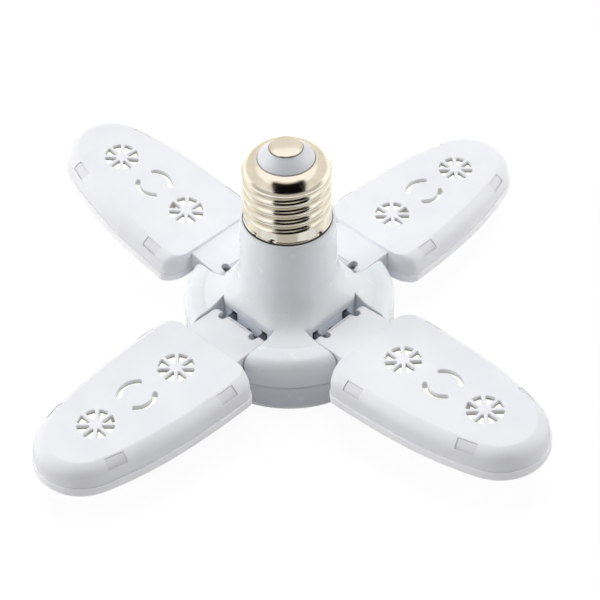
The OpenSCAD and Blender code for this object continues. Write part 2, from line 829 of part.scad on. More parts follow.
// Tongue that carries the leaf on its hinge
module tongue() {
    difference() {
        union() {
            block([tongue_x, -tongue_w / 2, tongue_low + tongue_round],
                  [root_x + tongue_root, tongue_w / 2, tongue_z]);
            block([tongue_x + tongue_round, -tongue_w / 2, tongue_low],
                  [root_x + tongue_root, tongue_w / 2, tongue_z]);
            translate([tongue_x + tongue_round, 0, tongue_low + tongue_round])
                bar_y(tongue_round, -tongue_w / 2, tongue_w / 2);
        }
        both_sides() ear_cut();
        bar_y(pin_r + pin_play, -tongue_w, tongue_w);
        block([tongue_x - over, -lead_room_w / 2, tongue_low - over],
              [lead_room_x, lead_room_w / 2, lead_room_z]);
        lead_tunnel(0);
    }
}

module leaf_housing(k) {
    edge_w = shoulder_w + wall_spread;
    color(housing_white) at_leaf(k) difference() {
        union() {
            difference() {
                loft(concat(shoulder(0), [[housing_d, edge_w]]));
                loft(concat(shoulder(leaf_wall), [[housing_d + over, edge_w - leaf_wall]]),
                     leaf_wall);
            }
            for (s = leaf_screw_at)
                translate([root_x + s, 0, top_z - board_depth])
                    cylinder(r = leaf_boss_r, h = board_depth - leaf_wall + lap);
            tongue();
        }
        vent_cuts();
        window_cuts();
        for (s = leaf_screw_at)
            translate([root_x + s, 0, top_z - board_depth - over])
                cylinder(r = screw_r + screw_play, h = leaf_hole_d + over);
        lead_tunnel(root_x - over);
    }
}

module leaf_diffuser(k) {
    low = housing_d + rim_d;
    skirt_o = shoulder_w - leaf_wall - snap_skirt_gap;
    skirt_in = skirt_o - snap_skirt_t;
    skirt_top = board_depth + board_t + snap_gap;
    color(milky) at_leaf(k) {
        difference() {
            loft([[housing_d, rim_w - rim_round], [housing_d + rim_round, rim_w],
                  [low - rim_low_round, rim_w], [low - rim_round, rim_w - rim_slope],
                  [low, rim_w - rim_foot]]);
            loft([[housing_d - over, rim_w - rim_wall], [floor_d, rim_w - rim_wall]], rim_wall);
        }
        difference() {
            loft([[skirt_top, skirt_o], [housing_d + over / 10, skirt_o]],
                 leaf_wall + snap_skirt_gap);
            loft([[skirt_top - over, skirt_in], [housing_d + over, skirt_in]],
                 leaf_wall + snap_skirt_gap + snap_skirt_t);
        }
        both_sides() for (s = window_at) at_side(s) {
            half = window_l / 2 - hook_gap;
            block([-half, skirt_in, -housing_d - snap_skirt_gap], [half, skirt_o, -hook_root]);
            block([-half, skirt_o - snap_skirt_gap, -window_d + hook_gap / 2],
                  [half, window_in + window_w - hook_gap, -hook_top]);
        }
    }
}

module leaf_light_board(k) {
    color(board_white) at_leaf(k) difference() {
        translate([0, 0, top_z - board_depth - board_t])
            linear_extrude(board_t) polygon(outline(-board_inset, leaf_wall + board_inset));
        for (s = leaf_screw_at)
            translate([root_x + s, 0, top_z - board_depth - board_t - over])
                cylinder(r = screw_r + screw_pass, h = board_t + 2 * over);
    }
}

module leaf_leds(k) {
    led_z = top_z - board_depth - board_t;
    color("khaki") at_leaf(k) {
        for (i = [0:6]) let (s = led_start + led_pitch * i) both_sides()
            translate([root_x + s, min(led_side, half_w(s) - led_edge), led_z]) led();
        for (i = [0, 1, 3, 5, 6])
            translate([root_x + led_start + led_pitch * i, 0, led_z]) led();
    }
}

module leaf_screws(k) {
    color(steel) at_leaf(k)
        for (s = leaf_screw_at)
            translate([root_x + s, 0, top_z - board_depth - board_t])
                pan_screw(board_t + leaf_screw_grip);
}

// Leads from the hinge's axis through the tongue to the back of the leaf's board
module leaf_leads(k) {
    in_z = top_z - board_depth + wire_r + lead_clear;
    turn_y = axis_turn - 0.8 - run_gap;
    color("red") at_leaf(k) both_sides()
        wire([[0, turn_y, 0], [0.1, turn_y - 0.45, 0], [0.8, lead_side, 0],
              [2.4, lead_side, 0], [root_x - 1.5, lead_side, 0],
              [root_x + 0.5, lead_side, in_z], [root_x + 6, lead_side, in_z]]);
}

cap_shell();
cap_insulator();
centre_contact();
cap_leads();
hub_housing();
hub_base();
hub_diffuser();
hub_light_board();
hub_leds();
base_screws();
leaf_feed_leads();
driver_board();
bulk_capacitor();
smoothing_inductor();
bridge_rectifier();
driver_chip();
fusible_resistor();
bracket_rivets();
bracket(0);  // leaf_1_bracket
bracket(1);  // leaf_2_bracket
bracket(2);  // leaf_3_bracket
bracket(3);  // leaf_4_bracket
pins(0);  // leaf_1_pins
pins(1);  // leaf_2_pins
pins(2);  // leaf_3_pins
pins(3);  // leaf_4_pins
leaf_housing(0);  // leaf_1_housing
leaf_housing(1);  // leaf_2_housing
leaf_housing(2);  // leaf_3_housing
leaf_housing(3);  // leaf_4_housing
leaf_diffuser(0);  // leaf_1_diffuser
leaf_diffuser(1);  // leaf_2_diffuser
leaf_diffuser(2);  // leaf_3_diffuser
leaf_diffuser(3);  // leaf_4_diffuser
leaf_light_board(0);  // leaf_1_light_board
leaf_light_board(1);  // leaf_2_light_board
leaf_light_board(2);  // leaf_3_light_board
leaf_light_board(3);  // leaf_4_light_board
leaf_leds(0);  // leaf_1_leds
leaf_leds(1);  // leaf_2_leds
leaf_leds(2);  // leaf_3_leds
leaf_leds(3);  // leaf_4_leds
leaf_screws(0);  // leaf_1_screws
leaf_screws(1);  // leaf_2_screws
leaf_screws(2);  // leaf_3_screws
leaf_screws(3);  // leaf_4_screws
leaf_leads(0);  // leaf_1_leads
leaf_leads(1);  // leaf_2_leads
leaf_leads(2);  // leaf_3_leads
leaf_leads(3);  // leaf_4_leads
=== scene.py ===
import json
from math import atan, atan2, cos, degrees, pi, radians, sin, sqrt, tan

import bmesh
import bpy
from mathutils import Matrix, Vector


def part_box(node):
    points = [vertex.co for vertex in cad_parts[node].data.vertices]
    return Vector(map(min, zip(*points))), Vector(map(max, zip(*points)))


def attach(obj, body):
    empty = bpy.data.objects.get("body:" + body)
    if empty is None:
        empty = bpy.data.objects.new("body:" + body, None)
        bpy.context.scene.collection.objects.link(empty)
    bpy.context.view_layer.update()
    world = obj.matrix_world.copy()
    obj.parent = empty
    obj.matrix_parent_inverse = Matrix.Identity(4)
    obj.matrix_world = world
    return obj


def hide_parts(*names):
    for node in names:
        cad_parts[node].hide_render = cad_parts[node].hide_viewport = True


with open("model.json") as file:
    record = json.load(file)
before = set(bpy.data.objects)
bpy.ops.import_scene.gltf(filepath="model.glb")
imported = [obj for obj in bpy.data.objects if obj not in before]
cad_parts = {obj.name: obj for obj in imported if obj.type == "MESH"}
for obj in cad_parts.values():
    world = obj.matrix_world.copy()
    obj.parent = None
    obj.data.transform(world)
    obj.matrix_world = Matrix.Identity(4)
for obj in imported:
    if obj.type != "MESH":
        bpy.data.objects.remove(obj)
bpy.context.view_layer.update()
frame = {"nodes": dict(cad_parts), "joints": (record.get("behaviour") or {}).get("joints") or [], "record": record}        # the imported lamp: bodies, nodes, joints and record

# All sizes are millimetres, and every mesh is scaled by MM to the frame's metres.
MM = 0.001
LEAVES = (1, 2, 3, 4)

# ---- Sizes ----

# Hub
HUB_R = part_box("hub_base")[1].x / MM
HUB_TOP = 20.3
SEAM_Z = 10.0
HUB_WALL = 1.6
SEAM_ROUND = 0.18
LOBE_ROUND = 3.4
FLARE_R = 12.0
NECK_FOOT_R = 15.1
FLARE_AT = (NECK_FOOT_R + FLARE_R, HUB_TOP + FLARE_R)      # centre of the flare's arc
NECK_R = 14.3
NECK_TOP = 49.85
SPIGOT_R = 12.8
SPIGOT_WALL = 1.4
SPIGOT_TOP = 53.45
FOOT_Z = 1.8
DECK_Z = 8.4
DECK_HOLE_R = 11.0
LOBE_LINE_R = 26.2
SCREW_CIRCLE_R = 26.2
SCREW_TURN = 45
HUB_SCREW_L = 7.8
SCREW_BOSS_R = 2.5
SCREW_HOLE_R = 1.05
SCREW_HOLE_L = 5.8
DECK_SCREW_R = 1.3
STOP_X = (5.0, 8.0)
STOP_HALF = 1.0
LED_RINGS = ((19.0, 30, 15), (10.0, 60, 30))    # radius, step and first angle
FOOT_SHADE_Z = (7.0, 19.0)
POCKET_BACK = 17.4
POCKET_HALF = 11.1
POCKET_BLEND = 3.0
POCKET_BOW_R = 20.64
POCKET_STEP = 0.85
POCKET_STEP_Z = (18.4, 19.4)
GUIDE_Z = 23.3
DRIVER_HALF = 11.8
RAIL_BITE = 1.4
RAIL_AT = (0.7, -1.9)
RAIL_W = 1.2

# Hinge, in the frame of a leaf: x outward from the hinge's axis, y across, z up
HINGE_AT = 22.0
HINGE_Z = 16.4
EAR_AT = 6.5
EAR_T = 1.4
EAR_SLOT_Z = (14.6, 18.3)
EAR_PLAY = 0.45
EYE_ROOM_R = 1.85
NOTCH_HALF = 1.35
NOTCH_X = 0.24
PIN_HOLE_R = 0.8
FEED_Z = 13.0
FEED_HOLE_R = 2.1
RIVET_AT = (3.4, 13.2)
RIVET_R = 0.6

# Leaf
ROOT_X = 11.7
TOP_Z = 4.4
LEAF_L = 60.8
HALF_W = 16.2
TIP_R = 11.0
SHOULDER_W = 3.4
SHOULDER_D = 4.0
HOUSING_D = 7.0
WALL_SPREAD = 0.3
LEAF_WALL = 1.6
RIM_W = 4.2
RIM_D = 3.2
RIM_ROUND = 1.0
DIFFUSER_T = 1.3
ROOT_ROUND = 4.0
ROOT_DRAFT = 0.15
JOIN_ANGLE = 72.0
JOIN_X = LEAF_L - TIP_R + TIP_R * cos(radians(JOIN_ANGLE))
JOIN_Y = TIP_R * sin(radians(JOIN_ANGLE))
EDGE_ANGLE = 31.0
BOARD_DEPTH = 4.6
BOARD_T = 1.2
ROSETTE_AT = (13.7, 44.8)
ROSETTE_R = 5.65
PETAL_IN = 2.2
PETAL_IN_R = 0.3
PETAL_OUT = ROSETTE_R - 0.55
PETAL_OUT_R = 0.45
PETAL_HALF = 1.0
RING_AT = 29.1
RING_R = 5.25
RING_W = 1.6
RING_FROM, RING_TO = 40, 140
WINDOW_AT = (10.3, 48.8)
WINDOW_L = 6.0
WINDOW_IN = 0.6
WINDOW_W = 2.4
WINDOW_D = 4.6
HOOK_IN = 0.2
LEAF_SCREW_AT = (21.6, 36.6)
LEAF_SCREW_L = 3.4
LEAF_BOSS_R = 2.2
VENT_SHADE_R = 6.6
LED_START = 7.0
LED_PITCH = 7.4
LED_ROWS = 7
LED_SIDE = 9.5
LED_EDGE = 3.6
TONGUE_HALF = 10.7
TONGUE_X = -1.34
TONGUE_TOP = 3.45
TONGUE_LOW = -2.5
TONGUE_ROUND = 1.6
LIP_GROOVE_X = (1.0, 1.28)
LIP_GROOVE_HALF = 4.7
LIP_GROOVE_D = 0.3
LEAD_ROOM = ((-2, -3.2, -4), (2, 3.2, 1.7))
LEAD_TUNNEL = ((1, -1.7, -1.1), (ROOT_X + 2.2, 1.7, 1.1))

# Screw cap
CREST_R = 13.15
SKIRT_EDGE_R = 13.3
SKIRT_Z = 50.35
THREAD_Z = 53.95
THREAD_L = 14.1
THREAD_PITCH = 3.63
THREAD_DEPTH = 1.08
THREAD_CREST = 0.3
THREAD_FADE = 0.35
THREAD_ROWS = 112
SHOULDER_Z = 68.05
SHOULDER_FLAT = 1.18
CAP_TOP = 72.35
CAP_T = 0.4
INSULATOR_R = 8.5
CONTACT_Z = 76.05
CONTACT_R = 4.9
CONTACT_EDGE = 0.45
CONTACT_H = 0.45
STEM_R = 0.9
STEM_L = 7.0

# Staking dents along the cap's rim: their angles round the cap, and their size
DENTS = (-92.6, -65.2, 1.9, 58.0, 118.0, 176.0, 222.0)
DENT_UP = 0.45
DENT_R = 0.95
DENT_D = 0.75

# Corners of what is turned about the axis, and of round bars
FINE_SIDES = 192
PLAIN_SIDES = 128
CONTACT_SIDES = 96
SCREW_SIDES = 28
BAR_SIDES = 32


# ---- Node trees written as expressions ----

class Value:
    """An output socket. Arithmetic on it adds Math nodes to its tree."""

    def __init__(self, tree, socket):
        self.tree, self.socket = tree, socket

    def math(self, operation, *others):
        return self.tree.make("ShaderNodeMath", {"operation": operation}, [self, *others])

    def __add__(self, other):
        return self.math("ADD", other)

    def __sub__(self, other):
        return self.math("SUBTRACT", other)

    def __mul__(self, other):
        return self.math("MULTIPLY", other)

    def __truediv__(self, other):
        return self.math("DIVIDE", other)

    def __rsub__(self, other):
        return self.tree.make("ShaderNodeMath", {"operation": "SUBTRACT"}, [other, self])

    def between(self, low, high):
        """0 below low, 1 above high, and smooth between them."""
        return self.tree.make("ShaderNodeMapRange", {"interpolation_type": "SMOOTHSTEP"},
                              {"Value": self, "From Min": low, "From Max": high})

    def fading(self, low, high):
        """1 below low, 0 above high, and smooth between them."""
        return 1.0 - self.between(low, high)


def largest(*parts):
    """The largest of several values."""
    most = parts[0]
    for part in parts[1:]:
        most = most.math("MAXIMUM", part)
    return most


def length_of(*parts):
    """Length of a vector, from its parts along the axes."""
    total = parts[0] * parts[0]
    for part in parts[1:]:
        total = total + part * part
    return total.math("SQRT")


class Tree:
    """A node tree, of a material, a world or a Geometry Nodes group."""

    def __init__(self, nodes):
        self.nodes = nodes

    def make(self, kind, settings=None, inputs=(), output=0):
        """One node of a type, with its settings and the values or links of its sockets."""
        node = self.nodes.nodes.new(kind)
        for name, value in (settings or {}).items():
            setattr(node, name, value)
        pairs = inputs.items() if isinstance(inputs, dict) else enumerate(inputs)
        for key, value in pairs:
            if isinstance(value, Value):
                self.nodes.links.new(value.socket, node.inputs[key])
            elif value is not None:
                node.inputs[key].default_value = value
        return Value(self, node.outputs[output]) if node.outputs else node

    def mix(self, share, a, b):
        """Colour a where share is 0, and b where it is 1."""
        return self.make("ShaderNodeMix", {"data_type": "RGBA"}, {0: share, 6: a, 7: b}, 2)

    def place(self):
        """Object coordinates in metres."""
        return self.make("ShaderNodeTexCoord", output="Object")

    def leaf_place(self):
        """Coordinates in the frame of the piece's own leaf, in millimetres."""
        return self.make("ShaderNodeAttribute", {"attribute_name": "leaf_place"},
                         output="Vector")

    def noise(self, place, scale, detail=3.0):
        return self.make("ShaderNodeTexNoise", {},
                         {"Vector": place, "Scale": scale, "Detail": detail, "Roughness": 0.55})

    def stretched(self, place, factors):
        return self.make("ShaderNodeVectorMath", {"operation": "MULTIPLY"}, [place, factors])

    def axes(self, place):
        """The X, Y and Z of a vector."""
        return [self.make("ShaderNodeSeparateXYZ", {}, [place], axis) for axis in range(3)]

    def axes_mm(self):
        """The X, Y and Z of the object coordinates in millimetres."""
        return self.axes(self.stretched(self.place(), (1 / MM,) * 3))

    def light_path(self, kind):
        """1 for rays of a kind, and 0 for the others."""
        return self.make("ShaderNodeLightPath", output=f"Is {kind} Ray")

    def bump(self, height, distance, strength=1.0, normal=None):
        return self.make("ShaderNodeBump", {},
                         {"Strength": strength, "Distance": distance, "Height": height,
                          "Normal": normal})


WHITE, BLACK = (1, 1, 1, 1), (0, 0, 0, 1)


def paint(red, green, blue):
    """A colour given as it shows on a screen, from 0 to 255."""
    def linear(v):
        v /= 255
        return v / 12.92 if v <= 0.04045 else ((v + 0.055) / 1.055) ** 2.4
    return (linear(red), linear(green), linear(blue), 1.0)


class Finish:
    """A material with one Principled shader."""

    def __init__(self, name, **constants):
        self.material = bpy.data.materials.new(name)
        self.material.use_nodes = True
        self.tree = Tree(self.material.node_tree)
        self.shader = self.material.node_tree.nodes["Principled BSDF"]
        for socket, value in constants.items():
            self.shader.inputs[socket.replace("_", " ")].default_value = value

    def feed(self, **values):
        for socket, value in values.items():
            target = self.shader.inputs[socket.replace("_", " ")]
            self.material.node_tree.links.new(value.socket, target)
        return self.material


def new_finish(name, **constants):
    """A finish with its tree and its object coordinates."""
    finish = Finish(name, **constants)
    return finish, finish.tree, finish.tree.place()


# ---- Finishes ----

EDGE_SOFTNESS = 0.28 * MM
GRAIN_DEPTH = 0.01 * MM


def soft_edges(tree, radius=EDGE_SOFTNESS):
    """Normal that rounds the moulded edges."""
    return tree.make("ShaderNodeBevel", {"samples": 6}, {"Radius": radius})


def moulded_plastic(name, light, shade, gloss, grain, softness, painted_shade, foot=None):
    """Injection-moulded plastic: clouded a little, with a fine grain from the mould, and
    darkened with painted shade where its shade mask says. With a foot's colour it takes that
    on near the floor as painted shade, and the walls of its pockets glow with painted light."""
    # Only a plastic with a foot's colour, the hub's, gets the emission for the painted light in
    # its pockets.
    glow = 1.0 if foot else 0.0
    finish, tree, place = new_finish(name, Emission_Strength=glow)
    clouds = tree.noise(place, 55.0).between(0.35, 0.7)
    handled = tree.noise(place, 180.0, 5.0).between(0.45, 0.75)
    fine = tree.noise(place, 2600.0, 2.0)
    # Painted shade from the given mask: in the vents, or in the gap under the cap.
    shade_share, shade_colour = painted_shade(tree)
    colour = tree.mix(clouds, light, shade)
    if foot:
        # Painted shade: darker and greyer towards the floor.
        rise = tree.axes(place)[2].between(FOOT_SHADE_Z[0] * MM, FOOT_SHADE_Z[1] * MM)
        colour = tree.mix(rise, foot, colour)
        # Painted light: the pockets' back walls glow.
        finish.feed(Emission_Color=tree.mix(pocket_light(tree), BLACK, paint(108, 112, 120)))
    return finish.feed(
        Base_Color=tree.mix(shade_share, colour, shade_colour),
        Roughness=handled * 0.08 + fine * 0.05 + gloss,
        Normal=tree.bump(fine, GRAIN_DEPTH, grain, soft_edges(tree, softness)),
    )


def pocket_light(tree):
    """Painted light: the thin back walls of the four pockets glow, so that they look lit."""
    x, y, z = tree.axes_mm()
    x, y = x.math("ABSOLUTE"), y.math("ABSOLUTE")
    out, across = largest(x, y), x.math("MINIMUM", y)
    wall = out.between(POCKET_BACK - 0.15, POCKET_BACK - 0.02)
    wall = wall * out.fading(POCKET_BACK + HUB_WALL, HINGE_AT)
    inside = across.fading(POCKET_HALF - 2.0, POCKET_HALF + 0.5)
    return wall * inside * z.fading(HUB_TOP - 2.7, HUB_TOP + 0.1)


def cement(tree):
    """Painted shade in the narrow gap under the cap's rim: dark on the hub's spigot and close
    round it.
    """
    x, y, z = tree.axes_mm()
    near = length_of(x, y).fading(SKIRT_EDGE_R + 0.15, SKIRT_EDGE_R + 0.3)
    # Painted shade: a dark band in the gap under the cap's rim.
    return z.between(NECK_TOP - 0.08, NECK_TOP + 0.02) * near, paint(34, 30, 26)


def vent_shade(tree):
    """Darkened walls of the vents: the steep faces near the rosettes and slots."""
    x, y, z = tree.axes(tree.leaf_place())
    normal = tree.make("ShaderNodeNewGeometry", output="True Normal")
    steep = tree.axes(normal)[2].math("ABSOLUTE").fading(0.35, 0.6)
    deep = z.fading(TOP_Z - 1.35, TOP_Z - 0.4)
    near = [length_of(x - (ROOT_X + s), y).fading(VENT_SHADE_R, VENT_SHADE_R + 0.1) * share
            for s, share in ((ROSETTE_AT[0], 0.7), (ROSETTE_AT[1], 0.7), (RING_AT, 0.4))]
    return steep * deep * largest(*near), paint(96, 90, 74)


def milky_cover(name, spots, in_shade=None):
    """Milky cover whose LEDs show through as faint warm spots. Where its shade mask says, it is
    darker with painted shade.
    """
    finish, tree, place = new_finish(name, IOR=1.49)
    clouds = tree.noise(place, 70.0).between(0.3, 0.75)
    fine = tree.noise(place, 1900.0, 2.0)
    milk = tree.mix(clouds, paint(249, 249, 252), paint(244, 245, 249))
    if in_shade:
        # Painted shade on the parts under the housing.
        milk = tree.mix(in_shade(tree), milk, paint(227, 227, 233))
    return finish.feed(
        Base_Color=tree.mix(spots(tree) * 0.35, milk, paint(244, 226, 168)),
        Roughness=fine * 0.06 + 0.34,
        Normal=tree.bump(fine, GRAIN_DEPTH, 0.25, soft_edges(tree)),
    )


def inside_leaf(tree):
    """The part of a leaf's cover that lies under its housing, such as the hooks, which is darkened
    with painted shade.
    """
    z = tree.axes(tree.leaf_place())[2]
    return z.between(TOP_Z - HOUSING_D, TOP_Z - HOUSING_D + 0.5)


def leaf_spots(tree):
    """Spots of a leaf's LEDs, on its underside alone."""
    x, y, z = tree.axes(tree.leaf_place())
    along = (x - (ROOT_X + LED_START)) / LED_PITCH
    row = (along - along.math("ROUND")) * LED_PITCH
    side = y.math("ABSOLUTE")
    column = side.math("MINIMUM", (side - LED_SIDE).math("ABSOLUTE"))
    away = length_of(row, column)
    low_z = TOP_Z - HOUSING_D - RIM_D
    first, last = ROOT_X + LED_START, ROOT_X + LED_START + LED_PITCH * (LED_ROWS - 1)
    ends = x.between(first - 4, first - 3) * x.fading(last + 2.1, last + 3.1)
    return away.fading(0.6, 2.9) * z.fading(low_z, low_z + 0.6) * ends


def hub_spots(tree):
    """Spots of the hub's two rings of LEDs."""
    x, y, z = tree.axes_mm()
    turn = y.math("ARCTAN2", x) * degrees(1)
    radius = length_of(x, y)
    spots = []
    for ring_r, step, first in LED_RINGS:
        share = (turn - first) / step
        across = (share - share.math("ROUND")) * radians(step) * ring_r
        spots.append(length_of(across, radius - ring_r).fading(0.6, 3.0))
    return largest(*spots) * z.fading(0.1, 0.8)


def nickel_plate(name):
    """Bright nickel: darker in the thread's roots, with fine lines round the axis."""
    finish, tree, place = new_finish(name, Metallic=1.0)
    x, y, z = tree.axes_mm()
    lines = tree.noise(tree.stretched(place, (40.0, 40.0, 2600.0)), 1.0, 4.0)
    stains = tree.noise(place, 210.0, 5.0).between(0.5, 0.8)
    bright = tree.mix(stains * 0.5, paint(244, 239, 226), paint(232, 220, 194))
    root = length_of(x, y).fading(CREST_R - THREAD_DEPTH, CREST_R - 0.25)
    return finish.feed(
        Base_Color=tree.mix(root * 0.3, bright, paint(204, 188, 160)),
        Roughness=stains * 0.08 + lines * 0.07 + 0.13,
        Normal=tree.bump(lines, GRAIN_DEPTH, 0.15, soft_edges(tree, 0.12 * MM)),
    )


def glazed_insulator(name):
    """Pale bluish insulator with a satin glaze."""
    finish, tree, place = new_finish(name, Coat_Roughness=0.12)
    clouds = tree.noise(place, 160.0).between(0.3, 0.75)
    specks = tree.noise(place, 1500.0, 3.0).between(0.66, 0.8)
    colour = tree.mix(clouds, paint(222, 224, 228), paint(213, 216, 222))
    x, y, z = tree.axes_mm()
    seam = length_of(x, y).fading(CONTACT_R + 0.14, CONTACT_R + 0.24)
    colour = tree.mix(seam, colour, paint(46, 38, 32))
    return finish.feed(
        Base_Color=tree.mix(specks * 0.2, colour, paint(168, 170, 180)),
        Roughness=clouds * 0.06 + 0.3,
        Normal=tree.bump(specks, GRAIN_DEPTH, 0.2, soft_edges(tree)),
    )


def light_board_finish(name):
    """White lacquered aluminium board with the shadow of its copper traces. It glows with painted
    light, so that it shows bright through the vents.
    """
    # Painted light: the board glows, so that it shows bright through the vents.
    finish, tree, place = new_finish(name, Emission_Strength=0.5)
    traces = tree.make("ShaderNodeTexBrick", {"offset": 0.5},
                       {"Vector": tree.stretched(place, (1 / MM,) * 3), "Scale": 0.14,
                        "Mortar Size": 0.035, "Mortar Smooth": 0.4}, "Fac")
    dust = tree.noise(place, 420.0, 5.0).between(0.5, 0.8)
    lacquer = tree.mix(dust * 0.5, paint(251, 249, 240), paint(242, 236, 218))
    return finish.feed(
        Base_Color=tree.mix(traces * 0.3, lacquer, paint(206, 204, 190)),
        Emission_Color=tree.mix(dust, paint(253, 252, 247), paint(246, 242, 228)),
        Roughness=dust * 0.15 + 0.36,
        Normal=tree.bump(traces, 0.03 * MM, 0.4),
    )


def led_finish(name):
    """White LED body with its yellow phosphor."""
    finish, tree, place = new_finish(name)
    glow = tree.make("ShaderNodeAttribute", {"attribute_name": "phosphor"}, output="Fac")
    mottle = tree.noise(place, 2400.0)
    phosphor = tree.mix(mottle, paint(240, 206, 80), paint(226, 182, 52))
    return finish.feed(
        Base_Color=tree.mix(glow, paint(242, 240, 232), phosphor),
        Roughness=mottle * 0.2 + 0.3,
    )


def brushed_steel(name):
    finish, tree, place = new_finish(name, Metallic=1.0)
    brushing = tree.noise(tree.stretched(place, (300.0, 300.0, 2400.0)), 1.0, 4.0)
    tarnish = tree.noise(place, 330.0, 5.0).between(0.45, 0.75)
    return finish.feed(
        Base_Color=tree.mix(tarnish, paint(150, 152, 156), paint(110, 112, 118)),
        Roughness=brushing * 0.14 + tarnish * 0.12 + 0.3,
        Normal=tree.bump(brushing, GRAIN_DEPTH, 0.3),
    )


def speckled(name, light, shade, scale, rough):
    """Plain inner part: two close colours, mottled."""
    finish, tree, place = new_finish(name)
    mottle = tree.noise(place, scale, 4.0)
    return finish.feed(
        Base_Color=tree.mix(mottle.between(0.4, 0.65), light, shade),
        Roughness=mottle * 0.15 + rough,
        Normal=tree.bump(mottle, 0.02 * MM, 0.3),
    )


def circuit_board_finish(name):
    """Green board with copper lanes under the lacquer."""
    finish, tree, place = new_finish(name)
    place = tree.stretched(place, (1 / MM,) * 3)
    lanes = tree.make("ShaderNodeTexBrick", {"offset": 0.35},
                      {"Vector": place, "Scale": 0.32, "Mortar Size": 0.05,
                       "Mortar Smooth": 0.2}, "Fac")
    mottle = tree.noise(place, 1.3)
    green = tree.mix(mottle, paint(24, 104, 58), paint(18, 84, 46))
    return finish.feed(
        Base_Color=tree.mix(lanes * 0.7, green, paint(70, 150, 84)),
        Roughness=mottle * 0.12 + 0.3,
        Normal=tree.bump(lanes, 0.03 * MM, 0.5),
    )


def banded_resistor(name):
    """Body with colour bands that follow its length."""
    finish, tree, place = new_finish(name)
    low, high = (corner.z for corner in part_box("fusible_resistor"))
    share = (tree.axes(place)[2] - low) / (high - low)
    colour = paint(64, 132, 150)
    bands = ((0.25, (40, 26, 20)), (0.4, (150, 40, 30)), (0.55, (196, 160, 60)))
    for middle, band in bands:
        inside = (share - middle).math("ABSOLUTE").fading(0.03, 0.045)
        colour = tree.mix(inside, colour, paint(*band))
    return finish.feed(Base_Color=colour, Roughness=share * 0.05 + 0.35)


finishes = {
    "nickel": nickel_plate("bright nickel"),
    "insulator": glazed_insulator("insulator"),
    # The hub: painted shade in the gap under the cap and towards the floor, and painted light in
    # its pockets.
    "hub_plastic": moulded_plastic("hub plastic", paint(238, 242, 245), paint(232, 237, 241),
                                   0.2, 0.15, 0.9 * MM, cement, paint(207, 209, 221)),
    "leaf_plastic": moulded_plastic("leaf plastic", paint(237, 238, 242),
                                    paint(233, 234, 239), 0.4, 0.35, EDGE_SOFTNESS, vent_shade),
    "diffuser": milky_cover("leaf cover", leaf_spots, inside_leaf),
    "light_board": light_board_finish("light board"),
    "led": led_finish("led"),
    "steel": brushed_steel("zinc-plated steel"),
    "wire_insulation": speckled("wire sleeve", paint(62, 62, 66), paint(48, 48, 52), 900.0, 0.4),
    "circuit_board": circuit_board_finish("driver board"),
    "component_sleeve": speckled("capacitor sleeve", paint(52, 54, 74), paint(40, 42, 60),
                                 700.0, 0.25),
    "ferrite": speckled("ferrite", paint(78, 77, 78), paint(60, 60, 62), 1800.0, 0.55),
    "component_black": speckled("moulded black", paint(38, 38, 40), paint(30, 30, 32),
                                2600.0, 0.5),
    "resistor_body": banded_resistor("resistor bands"),
}
hub_cover = milky_cover("hub cover", hub_spots)


# ---- Outlines ----

def arc(centre, radius, start, end, steps):
    """Points of an arc, with its angles in degrees."""
    turns = [radians(start + (end - start) * i / steps) for i in range(steps + 1)]
    return [(centre[0] + radius * cos(t), centre[1] + radius * sin(t)) for t in turns]


def rounded(corners, steps):
    """Closed outline through corners of (x, y, radius), each turned into an arc."""
    points = []
    for i, (x, y, radius) in enumerate(corners):
        here = Vector((x, y))
        before = (Vector(corners[i - 1][:2]) - here).normalized()
        after = (Vector(corners[(i + 1) % len(corners)][:2]) - here).normalized()
        if radius == 0:
            points.append((x, y))
            continue
        half = before.angle(after) / 2
        centre = here + (before + after).normalized() * (radius / sin(half))
        start = here + before * (radius / tan(half)) - centre
        turn = pi - 2 * half
        if before.x * after.y - before.y * after.x > 0:
            turn = -turn
        for step in range(steps + 1):
            a = turn * step / steps
            points.append((centre.x + start.x * cos(a) - start.y * sin(a),
                           centre.y + start.x * sin(a) + start.y * cos(a)))
    return points


def half_width(s):
    """Half width of a leaf's flat top at a distance s from its inner end."""
    return HALF_W - (HALF_W - JOIN_Y) * (s / JOIN_X) ** 3


def side_normal(s):
    """Direction square to the leaf's side at s, in degrees from its length."""
    step = 0.01
    slope = (half_width(s + step) - half_width(s - step)) / (2 * step)
    return 90 + degrees(atan(slope))


def leaf_outline(beyond, inset=0.0):
    """A leaf's outline, some way beyond its flat top. A skin that lies inside another one
    by inset has its inner end moved in by as much."""
    half = []
    for i in range(13):
        a = radians(90 * i / 12)
        end = ROOT_ROUND + (beyond + inset) * ROOT_DRAFT - inset
        half.append((ROOT_ROUND - end * cos(a),
                     half_width(ROOT_ROUND) - ROOT_ROUND + (ROOT_ROUND + beyond) * sin(a)))
    for i in range(1, 28):
        s = ROOT_ROUND + (JOIN_X - ROOT_ROUND) * i / 28
        n = radians(side_normal(s))
        half.append((s + beyond * cos(n), half_width(s) + beyond * sin(n)))
    half += arc((LEAF_L - TIP_R, 0), TIP_R + beyond, JOIN_ANGLE, 0, 22)
    return [(ROOT_X + x, y) for x, y in half + [(x, -y) for x, y in half[-2::-1]]]


def shoulder_rings(inset, steps):
    """Rings of the rounded shoulder: depth below the top, and width beyond the flat top."""
    rings = []
    low = sin(radians(EDGE_ANGLE))
    for i in range(steps + 1):
        a = radians(EDGE_ANGLE + (90 - EDGE_ANGLE) * i / steps)
        fall = 1 - cos(a) / cos(radians(EDGE_ANGLE))
        rings.append((inset + (SHOULDER_D - inset) * fall,
                      -inset + SHOULDER_W * (sin(a) - low) / (1 - low)))
    return rings


# ---- Meshes ----

def linked(thing):
    """Puts a new object into the scene."""
    bpy.context.scene.collection.objects.link(thing)
    return thing


